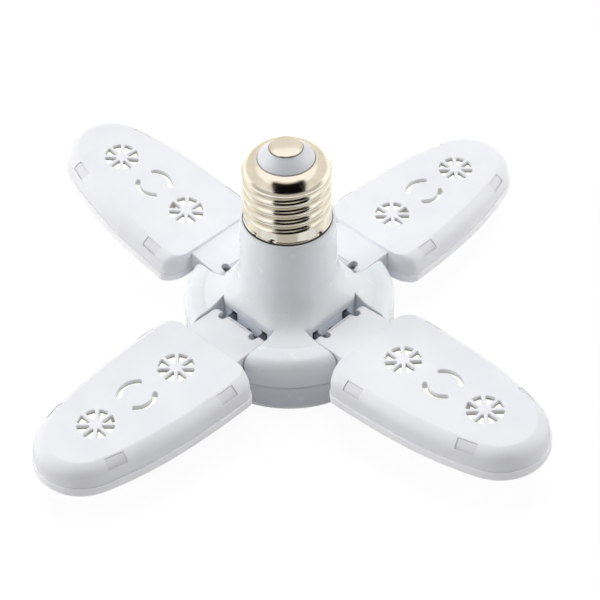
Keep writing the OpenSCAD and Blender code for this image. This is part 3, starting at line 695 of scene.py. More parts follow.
def piece_of(name, points, faces):
    """Object at the origin whose mesh holds points given in millimetres."""
    mesh = bpy.data.meshes.new(name)
    mesh.from_pydata([Vector(p) * MM for p in points], [], faces)
    mesh.update()
    return linked(bpy.data.objects.new(name, mesh))


def skin(name, rings, closed=False):
    """Skin over rings of equally many points. Its ends are capped, or it closes on itself."""
    count = len(rings[0])
    points = [p for ring in rings for p in ring]
    last = len(rings) if closed else len(rings) - 1
    faces = []
    for j in range(last):
        a, b = j * count, (j + 1) % len(rings) * count
        faces += [[a + i, a + (i + 1) % count, b + (i + 1) % count, b + i]
                  for i in range(count)]
    if not closed:
        faces.append(list(range(count))[::-1])
        faces.append([last * count + i for i in range(count)])
    return piece_of(name, points, faces)


def turned(name, profile, sides, closed=False):
    """A profile of (radius, height) turned about Z. A radius of 0 makes a pole."""
    points, rows = [], []
    for r, z in profile:
        turns = [2 * pi * i / sides for i in range(sides)] if r > 1e-6 else [0.0]
        rows.append(range(len(points), len(points) + len(turns)))
        points += [(r * cos(t), r * sin(t), z) for t in turns]
    faces = []
    for low, high in zip(rows, rows[1:] + (rows[:1] if closed else [])):
        for i in range(sides):
            j = (i + 1) % sides
            ring = [low[i % len(low)], low[j % len(low)], high[j % len(high)], high[i % len(high)]]
            faces.append([v for at, v in enumerate(ring) if v not in ring[:at]])
    return piece_of(name, points, [f for f in faces if len(f) > 2])


def prism(outline, low, high):
    return skin("prism", [[(x, y, z) for x, y in outline] for z in (low, high)])


def block(low, high):
    (x0, y0, z0), (x1, y1, z1) = low, high
    return prism([(x0, y0), (x1, y0), (x1, y1), (x0, y1)], z0, z1)


def bar(axis, radius, start, end, centre=(0.0, 0.0)):
    """Round bar along X, Y or Z, whose centre is given in the other two axes."""
    rings = []
    for at in (start, end):
        ring = arc(centre, radius, 0, 360 - 360 / BAR_SIDES, BAR_SIDES - 1)
        rings.append([{"X": (at, u, v), "Y": (v, at, u), "Z": (u, v, at)}[axis]
                      for u, v in ring])
    return skin("bar", rings)


def moved(piece, matrix):
    """Moves a piece's mesh by a matrix in millimetres."""
    scaled = matrix.copy()
    scaled.translation *= MM
    piece.data.transform(scaled)
    return piece


def copy_of(piece, name):
    twin = piece.copy()
    twin.data = piece.data.copy()
    twin.name = twin.data.name = name
    return linked(twin)


def turn_about_z(angle):
    return Matrix.Rotation(radians(angle), 4, "Z")


def joined(pieces):
    """One object that holds the meshes of several."""
    first, rest = pieces[0], pieces[1:]
    shell = bmesh.new()
    for piece in pieces:
        shell.from_mesh(piece.data)
    shell.to_mesh(first.data)
    shell.free()
    for piece in rest:
        bpy.data.objects.remove(piece)
    return first


def applied(piece):
    """Turns what a piece's modifiers make of it into its plain mesh."""
    graph = bpy.context.evaluated_depsgraph_get()
    result = bpy.data.meshes.new_from_object(piece.evaluated_get(graph))
    piece.modifiers.clear()
    result.name = piece.name
    piece.data = result
    return piece


def carve(piece, tools, operation="DIFFERENCE"):
    """Cuts tools from a piece, or adds them to it. The tools are used up."""
    tool = joined(tools)
    change = piece.modifiers.new("carve", "BOOLEAN")
    change.operation, change.solver, change.object = operation, "EXACT", tool
    applied(piece)
    bpy.data.objects.remove(tool)
    return piece


def smooth(piece, sharp=28.0):
    """Smooth shading, with the edges that are sharper than an angle kept."""
    piece.data.shade_smooth()
    piece.data.set_sharp_from_angle(angle=radians(sharp))
    return piece


def all_round(make, first=0.0):
    """Four copies of a tool round the lamp's axis."""
    return [moved(make(), turn_about_z(first + 90 * k)) for k in range(4)]


# ---- Geometry Nodes ----

def group_of(name, sockets):
    """Node group with a mesh in and a mesh out, and its named inputs."""
    group = bpy.data.node_groups.new(name, "GeometryNodeTree")
    group.interface.new_socket("Mesh", in_out="INPUT", socket_type="NodeSocketGeometry")
    for label, kind in sockets.items():
        group.interface.new_socket(label, in_out="INPUT", socket_type="NodeSocket" + kind)
    group.interface.new_socket("Mesh", in_out="OUTPUT", socket_type="NodeSocketGeometry")
    tree = Tree(group)
    entry = group.nodes.new("NodeGroupInput")
    given = {socket.name: Value(tree, socket) for socket in entry.outputs if socket.name}
    return group, tree, given


def run_nodes(piece, group, values):
    """Applies a node group to a piece, with its inputs set by their identifiers."""
    change = piece.modifiers.new(group.name, "NODES")
    change.node_group = group
    for item in group.interface.items_tree:
        if item.item_type == "SOCKET" and item.in_out == "INPUT" and item.name in values:
            change[item.identifier] = values[item.name]
    return applied(piece)


def end_group(tree, geometry, material):
    """Ends a node group with real geometry that has its material."""
    real = tree.make("GeometryNodeRealizeInstances", {}, {0: geometry})
    done = tree.make("GeometryNodeSetMaterial", {}, {"Geometry": real, "Material": material})
    tree.make("NodeGroupOutput", {}, [done])


def copies_group():
    """A part set on every point, turned about Z by the point's own angle."""
    group, tree, given = group_of("copies", {"Part": "Object", "Finish": "Material"})
    part = tree.make("GeometryNodeObjectInfo", {}, {"Object": given["Part"]}, "Geometry")
    turn = tree.make("GeometryNodeInputNamedAttribute", {"data_type": "FLOAT_VECTOR"},
                     {"Name": "turn"}, "Attribute")
    spread = tree.make("GeometryNodeInstanceOnPoints", {},
                       {"Points": given["Mesh"], "Instance": part, "Rotation": turn})
    end_group(tree, spread, given["Finish"])
    return group


def thread_group():
    """Presses a rolled thread and a row of staking dents into a turned shell."""
    group, tree, given = group_of("rolled thread", {
        "Start": "Float", "Length": "Float", "Pitch": "Float", "Depth": "Float",
        "Fade": "Float", "Crest": "Float", "Finish": "Material"})
    x, y, z = tree.axes(tree.make("GeometryNodeInputPosition"))
    radius = length_of(x, y)
    height = z - given["Start"]
    turn = y.math("ARCTAN2", x) / (2 * pi)
    half = given["Pitch"] * 0.5
    off = (height - turn * given["Pitch"] - given["Crest"]).math("PINGPONG", half)
    near = off.math("MINIMUM", half - off)
    # From a crest to a root. Both are arcs, and their radius follows from pitch and depth
    ratio = given["Depth"] / half
    arc_r = half * (ratio * ratio + 1.0) / (ratio * 4.0)
    fall = arc_r - (arc_r * arc_r - near * near).math("SQRT")
    low = off.math("GREATER_THAN", half * 0.5)
    inside = height.between(0.0, given["Fade"])
    inside = inside * (given["Length"] - height).between(0.0, given["Fade"])
    relief = (fall + low * (given["Depth"] - fall * 2.0)) * inside
    for dent in DENTS:
        away = length_of(x - cos(radians(dent)) * CREST_R * MM,
                         y - sin(radians(dent)) * CREST_R * MM, z - (SKIRT_Z + DENT_UP) * MM)
        relief = relief + away.fading(0.0, DENT_R * MM) * (DENT_D * MM)
    inward = (relief / radius) * -1.0
    offset = tree.make("ShaderNodeCombineXYZ", {}, [x * inward, y * inward, 0.0])
    pressed = tree.make("GeometryNodeSetPosition", {},
                        {"Geometry": given["Mesh"], "Offset": offset})
    end_group(tree, pressed, given["Finish"])
    return group


copies = copies_group()
rolled_thread = thread_group()


def repeated(name, part, places, finish):
    """Copies of a part at places of (x, y, z, turn about Z in degrees). The part is used up."""
    points = piece_of(name, [p[:3] for p in places], [])
    turns = points.data.attributes.new("turn", "FLOAT_VECTOR", "POINT")
    turns.data.foreach_set("vector", [v for p in places for v in (0, 0, radians(p[3]))])
    run_nodes(points, copies, {"Part": part, "Finish": finish})
    bpy.data.objects.remove(part)
    return points


# ---- Showing a piece ----

def show(piece, body, slot, finish, *nodes):
    """Gives a finished piece its material, its body and the solids that it stands for."""
    piece.data.materials.clear()
    piece.data.materials.append(finish)
    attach(piece, body)
    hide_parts(*nodes)


def leaf_matrix(number):
    """Placing of a leaf, from its own frame to the lamp, read from its joint."""
    joint = next(j for j in frame["joints"] if j["child"] == f"leaf_{number}")
    hinge = Vector(joint["pos_m"]) / MM
    about = degrees(atan2(hinge.y, hinge.x))
    lift = Matrix.Rotation(radians(joint["range_deg"][0]), 4, "Y")
    return Matrix.Translation(hinge) @ turn_about_z(about) @ lift


def show_on_leaves(pattern, part, slot, finish):
    """Sets a copy of a piece, made in the frame of a leaf, on each leaf."""
    local = [c for v in part.data.vertices for c in v.co / MM]
    note = part.data.attributes.new("leaf_place", "FLOAT_VECTOR", "POINT")
    note.data.foreach_set("vector", local)
    for number in LEAVES:
        twin = copy_of(part, pattern.format(number) + "_finished")
        moved(twin, leaf_matrix(number))
        show(twin, f"leaf_{number}", slot, finish, pattern.format(number))
    bpy.data.objects.remove(part)


# ---- Leaf ----

def leaf_rings(rings, inset=0.0):
    """Rings of points from rings of (depth, width beyond the flat top)."""
    return [[(x, y, TOP_Z - depth) for x, y in leaf_outline(beyond, inset)]
            for depth, beyond in rings]


def tongue():
    """Tongue of a leaf: rounded under its inner end, with a sloped lip on top of it."""
    def ring(z, back, narrow):
        x0, x1, y = TONGUE_X + back, ROOT_X + 0.6, TONGUE_HALF - narrow
        return [(px, py, z) for px, py in
                rounded([(x0, y, 1.0), (x0, -y, 1.0), (x1, -y, 0), (x1, y, 0)], 6)]
    low = [ring(TONGUE_LOW + TONGUE_ROUND - TONGUE_ROUND * cos(a),
                TONGUE_ROUND - TONGUE_ROUND * sin(a), max(0.0, 0.3 - a))
           for a in [radians(9 * i) for i in range(11)]]
    top = [ring(TONGUE_TOP - down, back, narrow) for down, back, narrow in
           ((0.75, 0.0, 0.0), (0.6, 0.06, 0.0), (0.25, 0.55, 0.03), (0.08, 0.95, 0.12),
            (0.0, 1.2, 0.3))]
    return skin("tongue", low + top)


def flared(outline_at, low, high, flare=0.24):
    """Tool for an opening whose upper edge is rounded by flare."""
    rings = [(low, 0.0), (high - flare, 0.0)]
    rings += [(high - flare + flare * sin(a), flare * (1 - cos(a)))
              for a in (radians(30), radians(60), radians(84))]
    rings.append((high + 0.5, flare))
    return skin("opening", [[(x, y, z) for x, y in outline_at(o)] for z, o in rings])


def petal_outline(wider):
    """Petal of a vent rosette, pointing along X."""
    return (arc((PETAL_IN, 0), PETAL_IN_R + wider, 250, 110, 4)
            + arc((PETAL_OUT, PETAL_HALF), PETAL_OUT_R + wider, 110, 15, 5)
            + arc((PETAL_OUT, -PETAL_HALF), PETAL_OUT_R + wider, -15, -110, 5))[::-1]


def slot_outline(wider):
    """Curved slot about its centre, with round ends."""
    half = RING_W / 2 + wider
    e0, e1 = arc((0, 0), RING_R, RING_FROM, RING_TO, 1)
    return (arc((0, 0), RING_R + half, RING_FROM, RING_TO, 14) + arc(e1, half, 185, 275, 3)
            + arc((0, 0), RING_R - half, RING_TO, RING_FROM, 14) + arc(e0, half, -95, -5, 3))


def leaf_housing():
    outer = shoulder_rings(0.0, 20)
    edge = SHOULDER_W + WALL_SPREAD
    inner = shoulder_rings(LEAF_WALL, 8)
    rings = leaf_rings([(HOUSING_D, edge - 0.2), (HOUSING_D - 0.06, edge - 0.06),
                        (HOUSING_D - 0.2, edge - 0.01)])
    rings += leaf_rings([(5.5, SHOULDER_W + 0.15)] + outer[::-1] + [(0.0, -0.3)])
    shell = skin("housing", rings)
    carve(shell, [tongue()], "UNION")
    room = skin("room", leaf_rings([(HOUSING_D + 0.5, edge - LEAF_WALL)] + inner[::-1],
                                   LEAF_WALL))
    carve(room, [bar("Z", LEAF_BOSS_R, TOP_Z - BOARD_DEPTH, TOP_Z, (ROOT_X + s, 0))
                 for s in LEAF_SCREW_AT])
    carve(shell, [room])
    low, high = TOP_Z - LEAF_WALL - 0.5, TOP_Z
    petals = [(ROOT_X + s, 0, 0, 22.5 + 45 * i) for s in ROSETTE_AT for i in range(8)]
    slots = [(ROOT_X + RING_AT, 0, 0, turn) for turn in (0, 180)]
    vents = [repeated("petals", flared(petal_outline, low, high), petals, None),
             repeated("slots", flared(slot_outline, low, high), slots, None)]
    carve(shell, vents)
    screw_holes = [bar("Z", SCREW_HOLE_R, TOP_Z - 5.2, TOP_Z - 2.0, (ROOT_X + s, 0))
                   for s in LEAF_SCREW_AT]
    carve(shell, at_windows(window_tool) + screw_holes)
    groove_in, groove_out = LIP_GROOVE_X
    groove = block((TONGUE_X + groove_in, -LIP_GROOVE_HALF, TONGUE_TOP - LIP_GROOVE_D),
                   (TONGUE_X + groove_out, LIP_GROOVE_HALF, TONGUE_TOP + 0.5))
    pin_hole = bar("Y", PIN_HOLE_R, -TONGUE_HALF - 0.3, TONGUE_HALF + 0.3)
    for tool in (ear_room(-EAR_AT), ear_room(EAR_AT), groove, block(*LEAD_ROOM),
                 block(*LEAD_TUNNEL), pin_hole):
        carve(shell, [tool])
    return smooth(shell)


def at_windows(make):
    """Copies of a piece at the four snap windows, beside the flat top."""
    pieces = []
    for s in WINDOW_AT:
        place = Matrix.Translation((ROOT_X + s, half_width(s), 0))
        for side in (-1, 1):
            piece = moved(make(), place @ turn_about_z(side_normal(s) - 90))
            if side < 0:
                moved(piece, Matrix.Scale(-1, 4, (0, 1, 0)))
                piece.data.flip_normals()
            pieces.append(piece)
    return pieces


def window_tool():
    return block((-WINDOW_L / 2, WINDOW_IN, TOP_Z - WINDOW_D),
                 (WINDOW_L / 2, WINDOW_IN + WINDOW_W, TOP_Z + 0.5))


def ear_room(y):
    """Notch for a hinge ear, open on top, with a round outer end."""
    plan = rounded([(TONGUE_X - 0.5, y - NOTCH_HALF, 0),
                    (NOTCH_X + NOTCH_HALF, y - NOTCH_HALF, NOTCH_HALF - 0.01),
                    (NOTCH_X + NOTCH_HALF, y + NOTCH_HALF, NOTCH_HALF - 0.01),
                    (TONGUE_X - 0.5, y + NOTCH_HALF, 0)], 8)
    tool = prism(plan, 0.0, TONGUE_TOP + 0.5)
    carve(tool, [bar("Y", EYE_ROOM_R, y - NOTCH_HALF, y + NOTCH_HALF)], "UNION")
    front = block((TONGUE_X - 0.5, y - NOTCH_HALF, -EYE_ROOM_R), (0, y + NOTCH_HALF, 0.5))
    return carve(tool, [front], "UNION")


def snap_hook():
    """Hook that fills a snap window: its face follows the shoulder, a little way in."""
    face = [(width, TOP_Z - depth) for depth, width in shoulder_rings(HOOK_IN, 60)
            if WINDOW_IN < width < WINDOW_IN + WINDOW_W]
    (y0, z0), (y1, z1) = face[0], face[-1]
    outline = face + [(y1, TOP_Z - WINDOW_D + 0.1), (y0 - 0.9, TOP_Z - WINDOW_D + 0.1),
                      (y0 - 0.9, z0 - 0.5)]
    half = WINDOW_L / 2 - 0.02
    return skin("hook", [[(x, y, z) for y, z in outline] for x in (half, -half)])


def leaf_diffuser():
    """Cover of a leaf, seen from the side as the rim under its housing."""
    low = HOUSING_D + RIM_D
    inside = RIM_W - 2.6
    rim = [(HOUSING_D, inside), (HOUSING_D, RIM_W - 0.25), (HOUSING_D + 0.08, RIM_W - 0.08),
           (HOUSING_D + 0.25, RIM_W), (low - RIM_ROUND, RIM_W)]
    rim += [(low - RIM_ROUND + RIM_ROUND * sin(a), RIM_W - RIM_ROUND + RIM_ROUND * cos(a))
            for a in [radians(12.86 * i) for i in range(1, 8)]]
    rim.append((low, RIM_W - 1.4))
    rings = leaf_rings(rim)
    floor = leaf_rings([(low - DIFFUSER_T, inside)])
    cover = skin("cover", (floor + rings)[::-1])
    outer, inner = SHOULDER_W - LEAF_WALL - 0.1, SHOULDER_W - LEAF_WALL - 1.1
    top = BOARD_DEPTH + BOARD_T + 0.2
    skirt = leaf_rings([(top, outer), (HOUSING_D + 0.05, outer)], LEAF_WALL + 0.1)
    skirt += leaf_rings([(HOUSING_D + 0.05, inner), (top, inner)], LEAF_WALL + 1.1)
    hooks = at_windows(snap_hook)
    return smooth(joined([cover, skin("skirt", skirt[::-1], closed=True)] + hooks))


# ---- Hub ----

def hub_outline():
    """Outer profile of the hub's upper housing, from the seam to the top of its spigot."""
    profile = [(0, SEAM_Z), (HUB_R - SEAM_ROUND, SEAM_Z),
               (HUB_R - SEAM_ROUND / 3, SEAM_Z + SEAM_ROUND / 3), (HUB_R, SEAM_Z + SEAM_ROUND)]
    profile += arc((HUB_R - LOBE_ROUND, HUB_TOP - LOBE_ROUND), LOBE_ROUND, 0, 90, 14)
    for r, sunk in ((28.0, 0), (LOBE_LINE_R + 0.3, 0), (LOBE_LINE_R + 0.12, 0.09),
                    (LOBE_LINE_R - 0.12, 0.09), (LOBE_LINE_R - 0.3, 0)):
        over = min(r - FLARE_AT[0], 0)
        profile.append((r, FLARE_AT[1] - sqrt(FLARE_R ** 2 - over ** 2) - sunk))
    profile += arc(FLARE_AT, FLARE_R, 262, 180, 26)
    profile += [(NECK_R + 0.02, NECK_TOP - 0.45), (NECK_R - 0.12, NECK_TOP - 0.13),
                (NECK_R - 0.45, NECK_TOP), (SPIGOT_R, NECK_TOP), (SPIGOT_R, SPIGOT_TOP),
                (0, SPIGOT_TOP)]
    return profile


def hub_room():
    """Hollow of the upper housing, round the pockets' walls, the bosses and the rails."""
    t = HUB_WALL
    profile = [(0, SEAM_Z - 0.5), (HUB_R - t, SEAM_Z - 0.5)]
    profile += arc((HUB_R - LOBE_ROUND, HUB_TOP - LOBE_ROUND), LOBE_ROUND - t, 0, 90, 6)
    profile += arc(FLARE_AT, FLARE_R + t, 270, 180, 14)
    profile += [(NECK_R - t, NECK_TOP), (SPIGOT_R - SPIGOT_WALL, NECK_TOP),
                (SPIGOT_R - SPIGOT_WALL, SPIGOT_TOP + 0.5), (0, SPIGOT_TOP + 0.5)]
    room = turned("room", profile, PLAIN_SIDES)
    for wall in all_round(lambda: block((POCKET_BACK - t, -POCKET_HALF - t, SEAM_Z - 1),
                                        (HUB_R + 5, POCKET_HALF + t, FLARE_AT[1]))):
        carve(room, [wall])
    carve(room, at_screws(SCREW_BOSS_R, SEAM_Z - 1, HUB_TOP))
    rails = []
    for side in (0, 180):
        for y in RAIL_AT:
            rail = block((DRIVER_HALF - RAIL_BITE, y, GUIDE_Z),
                         (POCKET_BACK - t / 2, y + RAIL_W, NECK_TOP))
            rails.append(moved(rail, turn_about_z(side)))
    return carve(room, rails)


def at_screws(radius, low, high):
    """Round bars at the four base screws."""
    return all_round(lambda: bar("Z", radius, low, high, (SCREW_CIRCLE_R, 0)), SCREW_TURN)


def pocket():
    """Room for a leaf's hinge. Its back wall runs softly into the flare above it."""
    def flare_x(y, z):
        fall = FLARE_AT[1] - z
        if fall >= FLARE_R:
            return HUB_R
        r = FLARE_AT[0] - sqrt(FLARE_R ** 2 - max(fall, 0.0) ** 2)
        return sqrt(r ** 2 - y ** 2) + 0.04

    def back_x(y, z):
        low, high = POCKET_STEP_Z
        step = POCKET_STEP * min(max((z - low) / (high - low), 0.0), 1.0)
        wall = min(POCKET_BACK + step, sqrt(POCKET_BOW_R ** 2 - y ** 2))
        blend = POCKET_BLEND * (1.001 - (y / POCKET_HALF) ** 4)
        near = max(blend - abs(flare_x(y, z) - wall), 0.0)
        return min(flare_x(y, z), wall) - near ** 2 / blend / 4

    ys = [POCKET_HALF * (1 - i / 16) for i in range(33)]
    levels = [SEAM_Z - 0.5, *POCKET_STEP_Z] + [20.0 + 0.4 * i for i in range(32)] + [36.0, 45.0]
    return skin("pocket", [[(back_x(y, z), y, z) for y in ys]
                           + [(HUB_R + 5, -POCKET_HALF, z), (HUB_R + 5, POCKET_HALF, z)]
                           for z in levels])


def wall_holes():
    """Holes in a pocket's back wall: for the ears, the rivets and the leads."""
    low, high = POCKET_BACK - 3, POCKET_BACK + 1
    half = EAR_T / 2 + EAR_PLAY
    holes = []
    for side in (-1, 1):
        y = side * EAR_AT
        holes += [block((low, y - half, EAR_SLOT_Z[0]), (high, y + half, EAR_SLOT_Z[1])),
                  bar("X", RIVET_R, low, high, (side * RIVET_AT[0], RIVET_AT[1]))]
    return joined(holes + [bar("X", FEED_HOLE_R, low, high, (0, FEED_Z))])


def hub_housing():
    shell = turned("hub", hub_outline(), FINE_SIDES)
    carve(shell, [hub_room()])
    carve(shell, all_round(pocket))
    carve(shell, all_round(wall_holes))
    carve(shell, at_screws(SCREW_HOLE_R, SEAM_Z - 0.5, SEAM_Z + SCREW_HOLE_L))
    return smooth(shell)


def level_stops():
    """The two stops on which a leaf's tongue rests when it is level."""
    low, high = HINGE_AT + STOP_X[0], HINGE_AT + STOP_X[1]
    return joined([block((low, y - STOP_HALF, SEAM_Z - 0.5),
                         (high, y + STOP_HALF, HINGE_Z + TONGUE_LOW - 0.35))
                   for y in (-EAR_AT, EAR_AT)])


def hub_base():
    """Base ring with the deck that carries the light board, and the leaves' stops."""
    wall_r = HUB_R - HUB_WALL
    profile = [(DECK_HOLE_R, DECK_Z), (wall_r, DECK_Z), (wall_r, FOOT_Z + 2.9),
               (wall_r + 0.4, FOOT_Z + 2.9), (wall_r + 0.4, FOOT_Z + 2.0), (wall_r, FOOT_Z + 2.0),
               (wall_r, FOOT_Z), (HUB_R - 0.5, FOOT_Z), (HUB_R - 0.15, FOOT_Z + 0.15),
               (HUB_R, FOOT_Z + 0.5), (HUB_R, SEAM_Z - 0.3 - SEAM_ROUND),
               (HUB_R - 0.1, SEAM_Z - 0.3), (HUB_R - 0.32, SEAM_Z - 0.12),
               (HUB_R - 0.4, SEAM_Z), (DECK_HOLE_R, SEAM_Z)]
    ring = turned("base", profile, FINE_SIDES, closed=True)
    carve(ring, all_round(level_stops), "UNION")
    carve(ring, at_screws(DECK_SCREW_R, DECK_Z - 1, SEAM_Z + 1))
    return smooth(ring)


def hub_diffuser():
    """Cover under the hub, on which the lamp stands."""
    edge_r, skirt_r, thick = HUB_R - 0.6, HUB_R - HUB_WALL - 0.2, 1.5
    profile = [(0, 0.0), (edge_r - 0.6, 0.0)]
    profile += arc((edge_r - 0.6, 0.6), 0.6, 270, 360, 6)[1:]
    profile += [(edge_r, thick - 0.1), (edge_r - 0.1, thick), (skirt_r, thick),
                (skirt_r, FOOT_Z + 2.1), (skirt_r + 0.4, FOOT_Z + 2.45),
                (skirt_r, FOOT_Z + 2.8), (skirt_r, FOOT_Z + 3.3), (skirt_r - 1.2, FOOT_Z + 3.3),
                (skirt_r - 1.2, thick), (0, thick)]
    return smooth(turned("cover", profile, FINE_SIDES))


# ---- Screw cap ----

def cap_shell():
    """Rolled shell: a turned profile that the thread and the dents are then pressed into."""
    wide = CREST_R - THREAD_DEPTH / 2
    skirt_r = CREST_R - 0.02
    lip_r = INSULATOR_R + CAP_T
    rise = CAP_TOP - SHOULDER_Z

    def shoulder(out, up, turns):
        return [(lip_r + (out - lip_r) * cos(radians(t)) ** SHOULDER_FLAT,
                 SHOULDER_Z + up * sin(radians(t)) ** SHOULDER_FLAT) for t in turns]

    rows = range(THREAD_ROWS + 1)
    outer = [(skirt_r - 0.1, SKIRT_Z), (SKIRT_EDGE_R, SKIRT_Z + 0.04),
             (SKIRT_EDGE_R, SKIRT_Z + 0.3), (skirt_r + 0.04, SKIRT_Z + 0.46)]
    outer += [(skirt_r, SKIRT_Z + 0.6 + 0.25 * i) for i in range(12)]
    outer += [(CREST_R, THREAD_Z + THREAD_L * i / THREAD_ROWS) for i in rows]
    outer += shoulder(wide + 0.29, rise, [90 * i / 32 for i in range(1, 32)])
    outer += [(lip_r, CAP_TOP), (INSULATOR_R + 0.12, CAP_TOP - 0.03),
              (INSULATOR_R, CAP_TOP - 0.14)]
    inner = [(INSULATOR_R, CAP_TOP - CAP_T - 0.2)]
    inner += shoulder(wide - CAP_T, rise - CAP_T, [90 - 90 * i / 10 for i in range(1, 10)])
    inner += [(CREST_R - CAP_T, THREAD_Z + THREAD_L * (1 - i / THREAD_ROWS)) for i in rows]
    inner.append((skirt_r - CAP_T + 0.1, SKIRT_Z))
    shell = turned("shell", outer + inner, FINE_SIDES, closed=True)
    run_nodes(shell, rolled_thread, {
        "Start": THREAD_Z * MM, "Length": THREAD_L * MM, "Pitch": THREAD_PITCH * MM,
        "Depth": THREAD_DEPTH * MM, "Fade": THREAD_FADE * MM, "Crest": THREAD_CREST * MM,
        "Finish": finishes["nickel"]})
    return smooth(shell, 40)


def cap_insulator():
    r = INSULATOR_R - 0.1
    foot = SHOULDER_Z + 1.2
    profile = [(STEM_R, foot), (CREST_R - 2.2, foot), (r + 1, SHOULDER_Z + 1.8),
               (r, SHOULDER_Z + 2.6), (r, CAP_TOP + 0.1)]
    profile += [(r - (r - CONTACT_R - 0.45) * t, CAP_TOP + 0.1
                 + (CONTACT_Z - CAP_TOP - 0.5) * (t * 1.18 - 0.18 * t * t))
                for t in [i / 12 for i in range(1, 13)]]
    profile += [(CONTACT_R + 0.3, CONTACT_Z - 0.12), (CONTACT_R + 0.1, CONTACT_Z),
                (STEM_R, CONTACT_Z)]
    return smooth(turned("insulator", profile, PLAIN_SIDES, closed=True))


def centre_contact():
    """Contact on its stem: a shallow dome with a short upright edge."""
    low, height = CONTACT_Z, CONTACT_EDGE + CONTACT_H - 0.18
    profile = [(0, low - STEM_L), (STEM_R, low - STEM_L), (STEM_R, low), (CONTACT_R - 0.05, low),
               (CONTACT_R, low + 0.04)]
    profile += [(CONTACT_R * cos(a), low + 0.16 + height * sin(a))
                for a in [radians(5 * i) for i in range(18)]]
    profile.append((0, low + 0.16 + height))
    return smooth(turned("contact", profile, CONTACT_SIDES))


# ---- LEDs and screws ----

def led():
    """LED with its body up to z 0 and its phosphor facing down."""
    def ring(length, width, z):
        return [(x * length / 2, y * width / 2, z) for x, y in
                ((-1, -1), (-1, 1), (1, 1), (1, -1))]
    part = skin("led", [ring(3.5, 2.8, 0), ring(3.5, 2.8, -0.65), ring(3.3, 2.6, -0.75),
                        ring(2.9, 2.2, -0.75), ring(2.6, 1.9, -0.6)])
    note = part.data.attributes.new("phosphor", "FLOAT", "FACE")
    note.data[len(part.data.polygons) - 1].value = 1.0
    return part


def pan_screw(length):
    """Pan-head screw with its head down: the shank ends at z = length."""
    profile = [(0, -1.2), (1.2, -1.2), (1.7, -1.05), (1.95, -0.7), (2, -0.3), (2, 0), (1, 0),
               (1, length - 0.4), (0.7, length), (0, length)]
    screw = turned("screw", profile, SCREW_SIDES)
    cross = block((-1.1, -0.25, -2), (1.1, 0.25, -0.6))
    carve(cross, [block((-0.25, -1.1, -2), (0.25, 1.1, -0.6))], "UNION")
    return smooth(carve(screw, [cross]))


def led_places():
    """Places of a leaf's LEDs in its frame: two outer rows, and a middle row past the screws."""
    z = TOP_Z - BOARD_DEPTH - BOARD_T
    places = []
    for i in range(LED_ROWS):
        s = LED_START + LED_PITCH * i
        side = min(LED_SIDE, half_width(s) - LED_EDGE)
        ys = (-side, side) if i in (2, 4) else (-side, 0, side)
        places += [(ROOT_X + s, y, z, 0) for y in ys]
    return places


# ---- The lamp ----

show(hub_housing(), "hub", "hub_plastic", finishes["hub_plastic"], "hub_housing")
show(hub_base(), "hub", "hub_plastic", finishes["hub_plastic"], "hub_base")
show(hub_diffuser(), "hub", "diffuser", hub_cover, "hub_diffuser")
show(cap_shell(), "hub", "nickel", finishes["nickel"], "cap_shell")
show(cap_insulator(), "hub", "insulator", finishes["insulator"], "cap_insulator")
show(centre_contact(), "hub", "nickel", finishes["nickel"], "centre_contact")

board_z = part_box("hub_light_board")[0].z / MM
ring_places = [(r * cos(radians(t)), r * sin(radians(t)), board_z, t)
               for r, step, first in LED_RINGS for t in range(first, 360, step)]
show(repeated("hub_led_rings", led(), ring_places, finishes["led"]),
     "hub", "led", finishes["led"], "hub_leds")
corner_places = [(SCREW_CIRCLE_R * cos(radians(t)),
                  SCREW_CIRCLE_R * sin(radians(t)), board_z, t)
                 for t in range(SCREW_TURN, 360, 90)]
show(repeated("hub_screws", pan_screw(HUB_SCREW_L), corner_places, finishes["steel"]),
     "hub", "steel", finishes["steel"], "base_screws")

show_on_leaves("leaf_{}_housing", leaf_housing(), "leaf_plastic", finishes["leaf_plastic"])
show_on_leaves("leaf_{}_diffuser", leaf_diffuser(), "diffuser", finishes["diffuser"])
show_on_leaves("leaf_{}_leds", repeated("leds", led(), led_places(), finishes["led"]),
               "led", finishes["led"])
screw_places = [(ROOT_X + s, 0, TOP_Z - BOARD_DEPTH - BOARD_T, 20) for s in LEAF_SCREW_AT]
show_on_leaves("leaf_{}_screws", repeated("screws", pan_screw(LEAF_SCREW_L), screw_places,
                                          finishes["steel"]), "steel", finishes["steel"])

slot_of = {}
for part in frame["record"]["subparts"]:
    slot_of[part.get("node") or part["name"]] = part.get("material_slot") or part.get("slot")
for name, node in frame["nodes"].items():
    if not node.hide_render:
        node.data.materials.clear()
        node.data.materials.append(finishes[slot_of[name]])


# ---- Stage ----

TARGET = Vector((0, 0, 30)) * MM
CAMERA_TURN, CAMERA_RISE, CAMERA_ROLL = 45.602, 42.548, -1.357
CAMERA_DISTANCE = 527.92 * MM
CAMERA_LENS, SENSOR = 103.84, 36.0
CAMERA_SHIFT = (0.0187, -0.0579)

# Name, turn from the camera's, rise, distance in metres, size and power
SOFTBOXES = (
    ("top softbox", 180, 78, 1.1, (0.9, 0.9), 6.9),
    ("left softbox", -100, 22, 1.0, (0.5, 0.7), 5.3),
    ("right softbox", 105, 22, 1.0, (0.5, 0.7), 3.7),
)

# Light from all round. The floor: its half size, how much of it is glow in the open and
# under the hub, how bright that glow is, and how bright it is in reflections, on the
# camera's side of the lamp and behind it
FILL_LIGHT = 0.25
FLOOR_HALF = 3000
FLOOR_GLOW = 0.9
LIGHT_UNDER_HUB = 0.8
FLOOR_LEVEL = 1.03
MIRRORED_NEAR = 0.52
MIRRORED_FAR = 1.25

# The dark card's turn from the camera's, and the height at which it starts to fade
CARD_TURN = 6.0
DUSK = 61.5


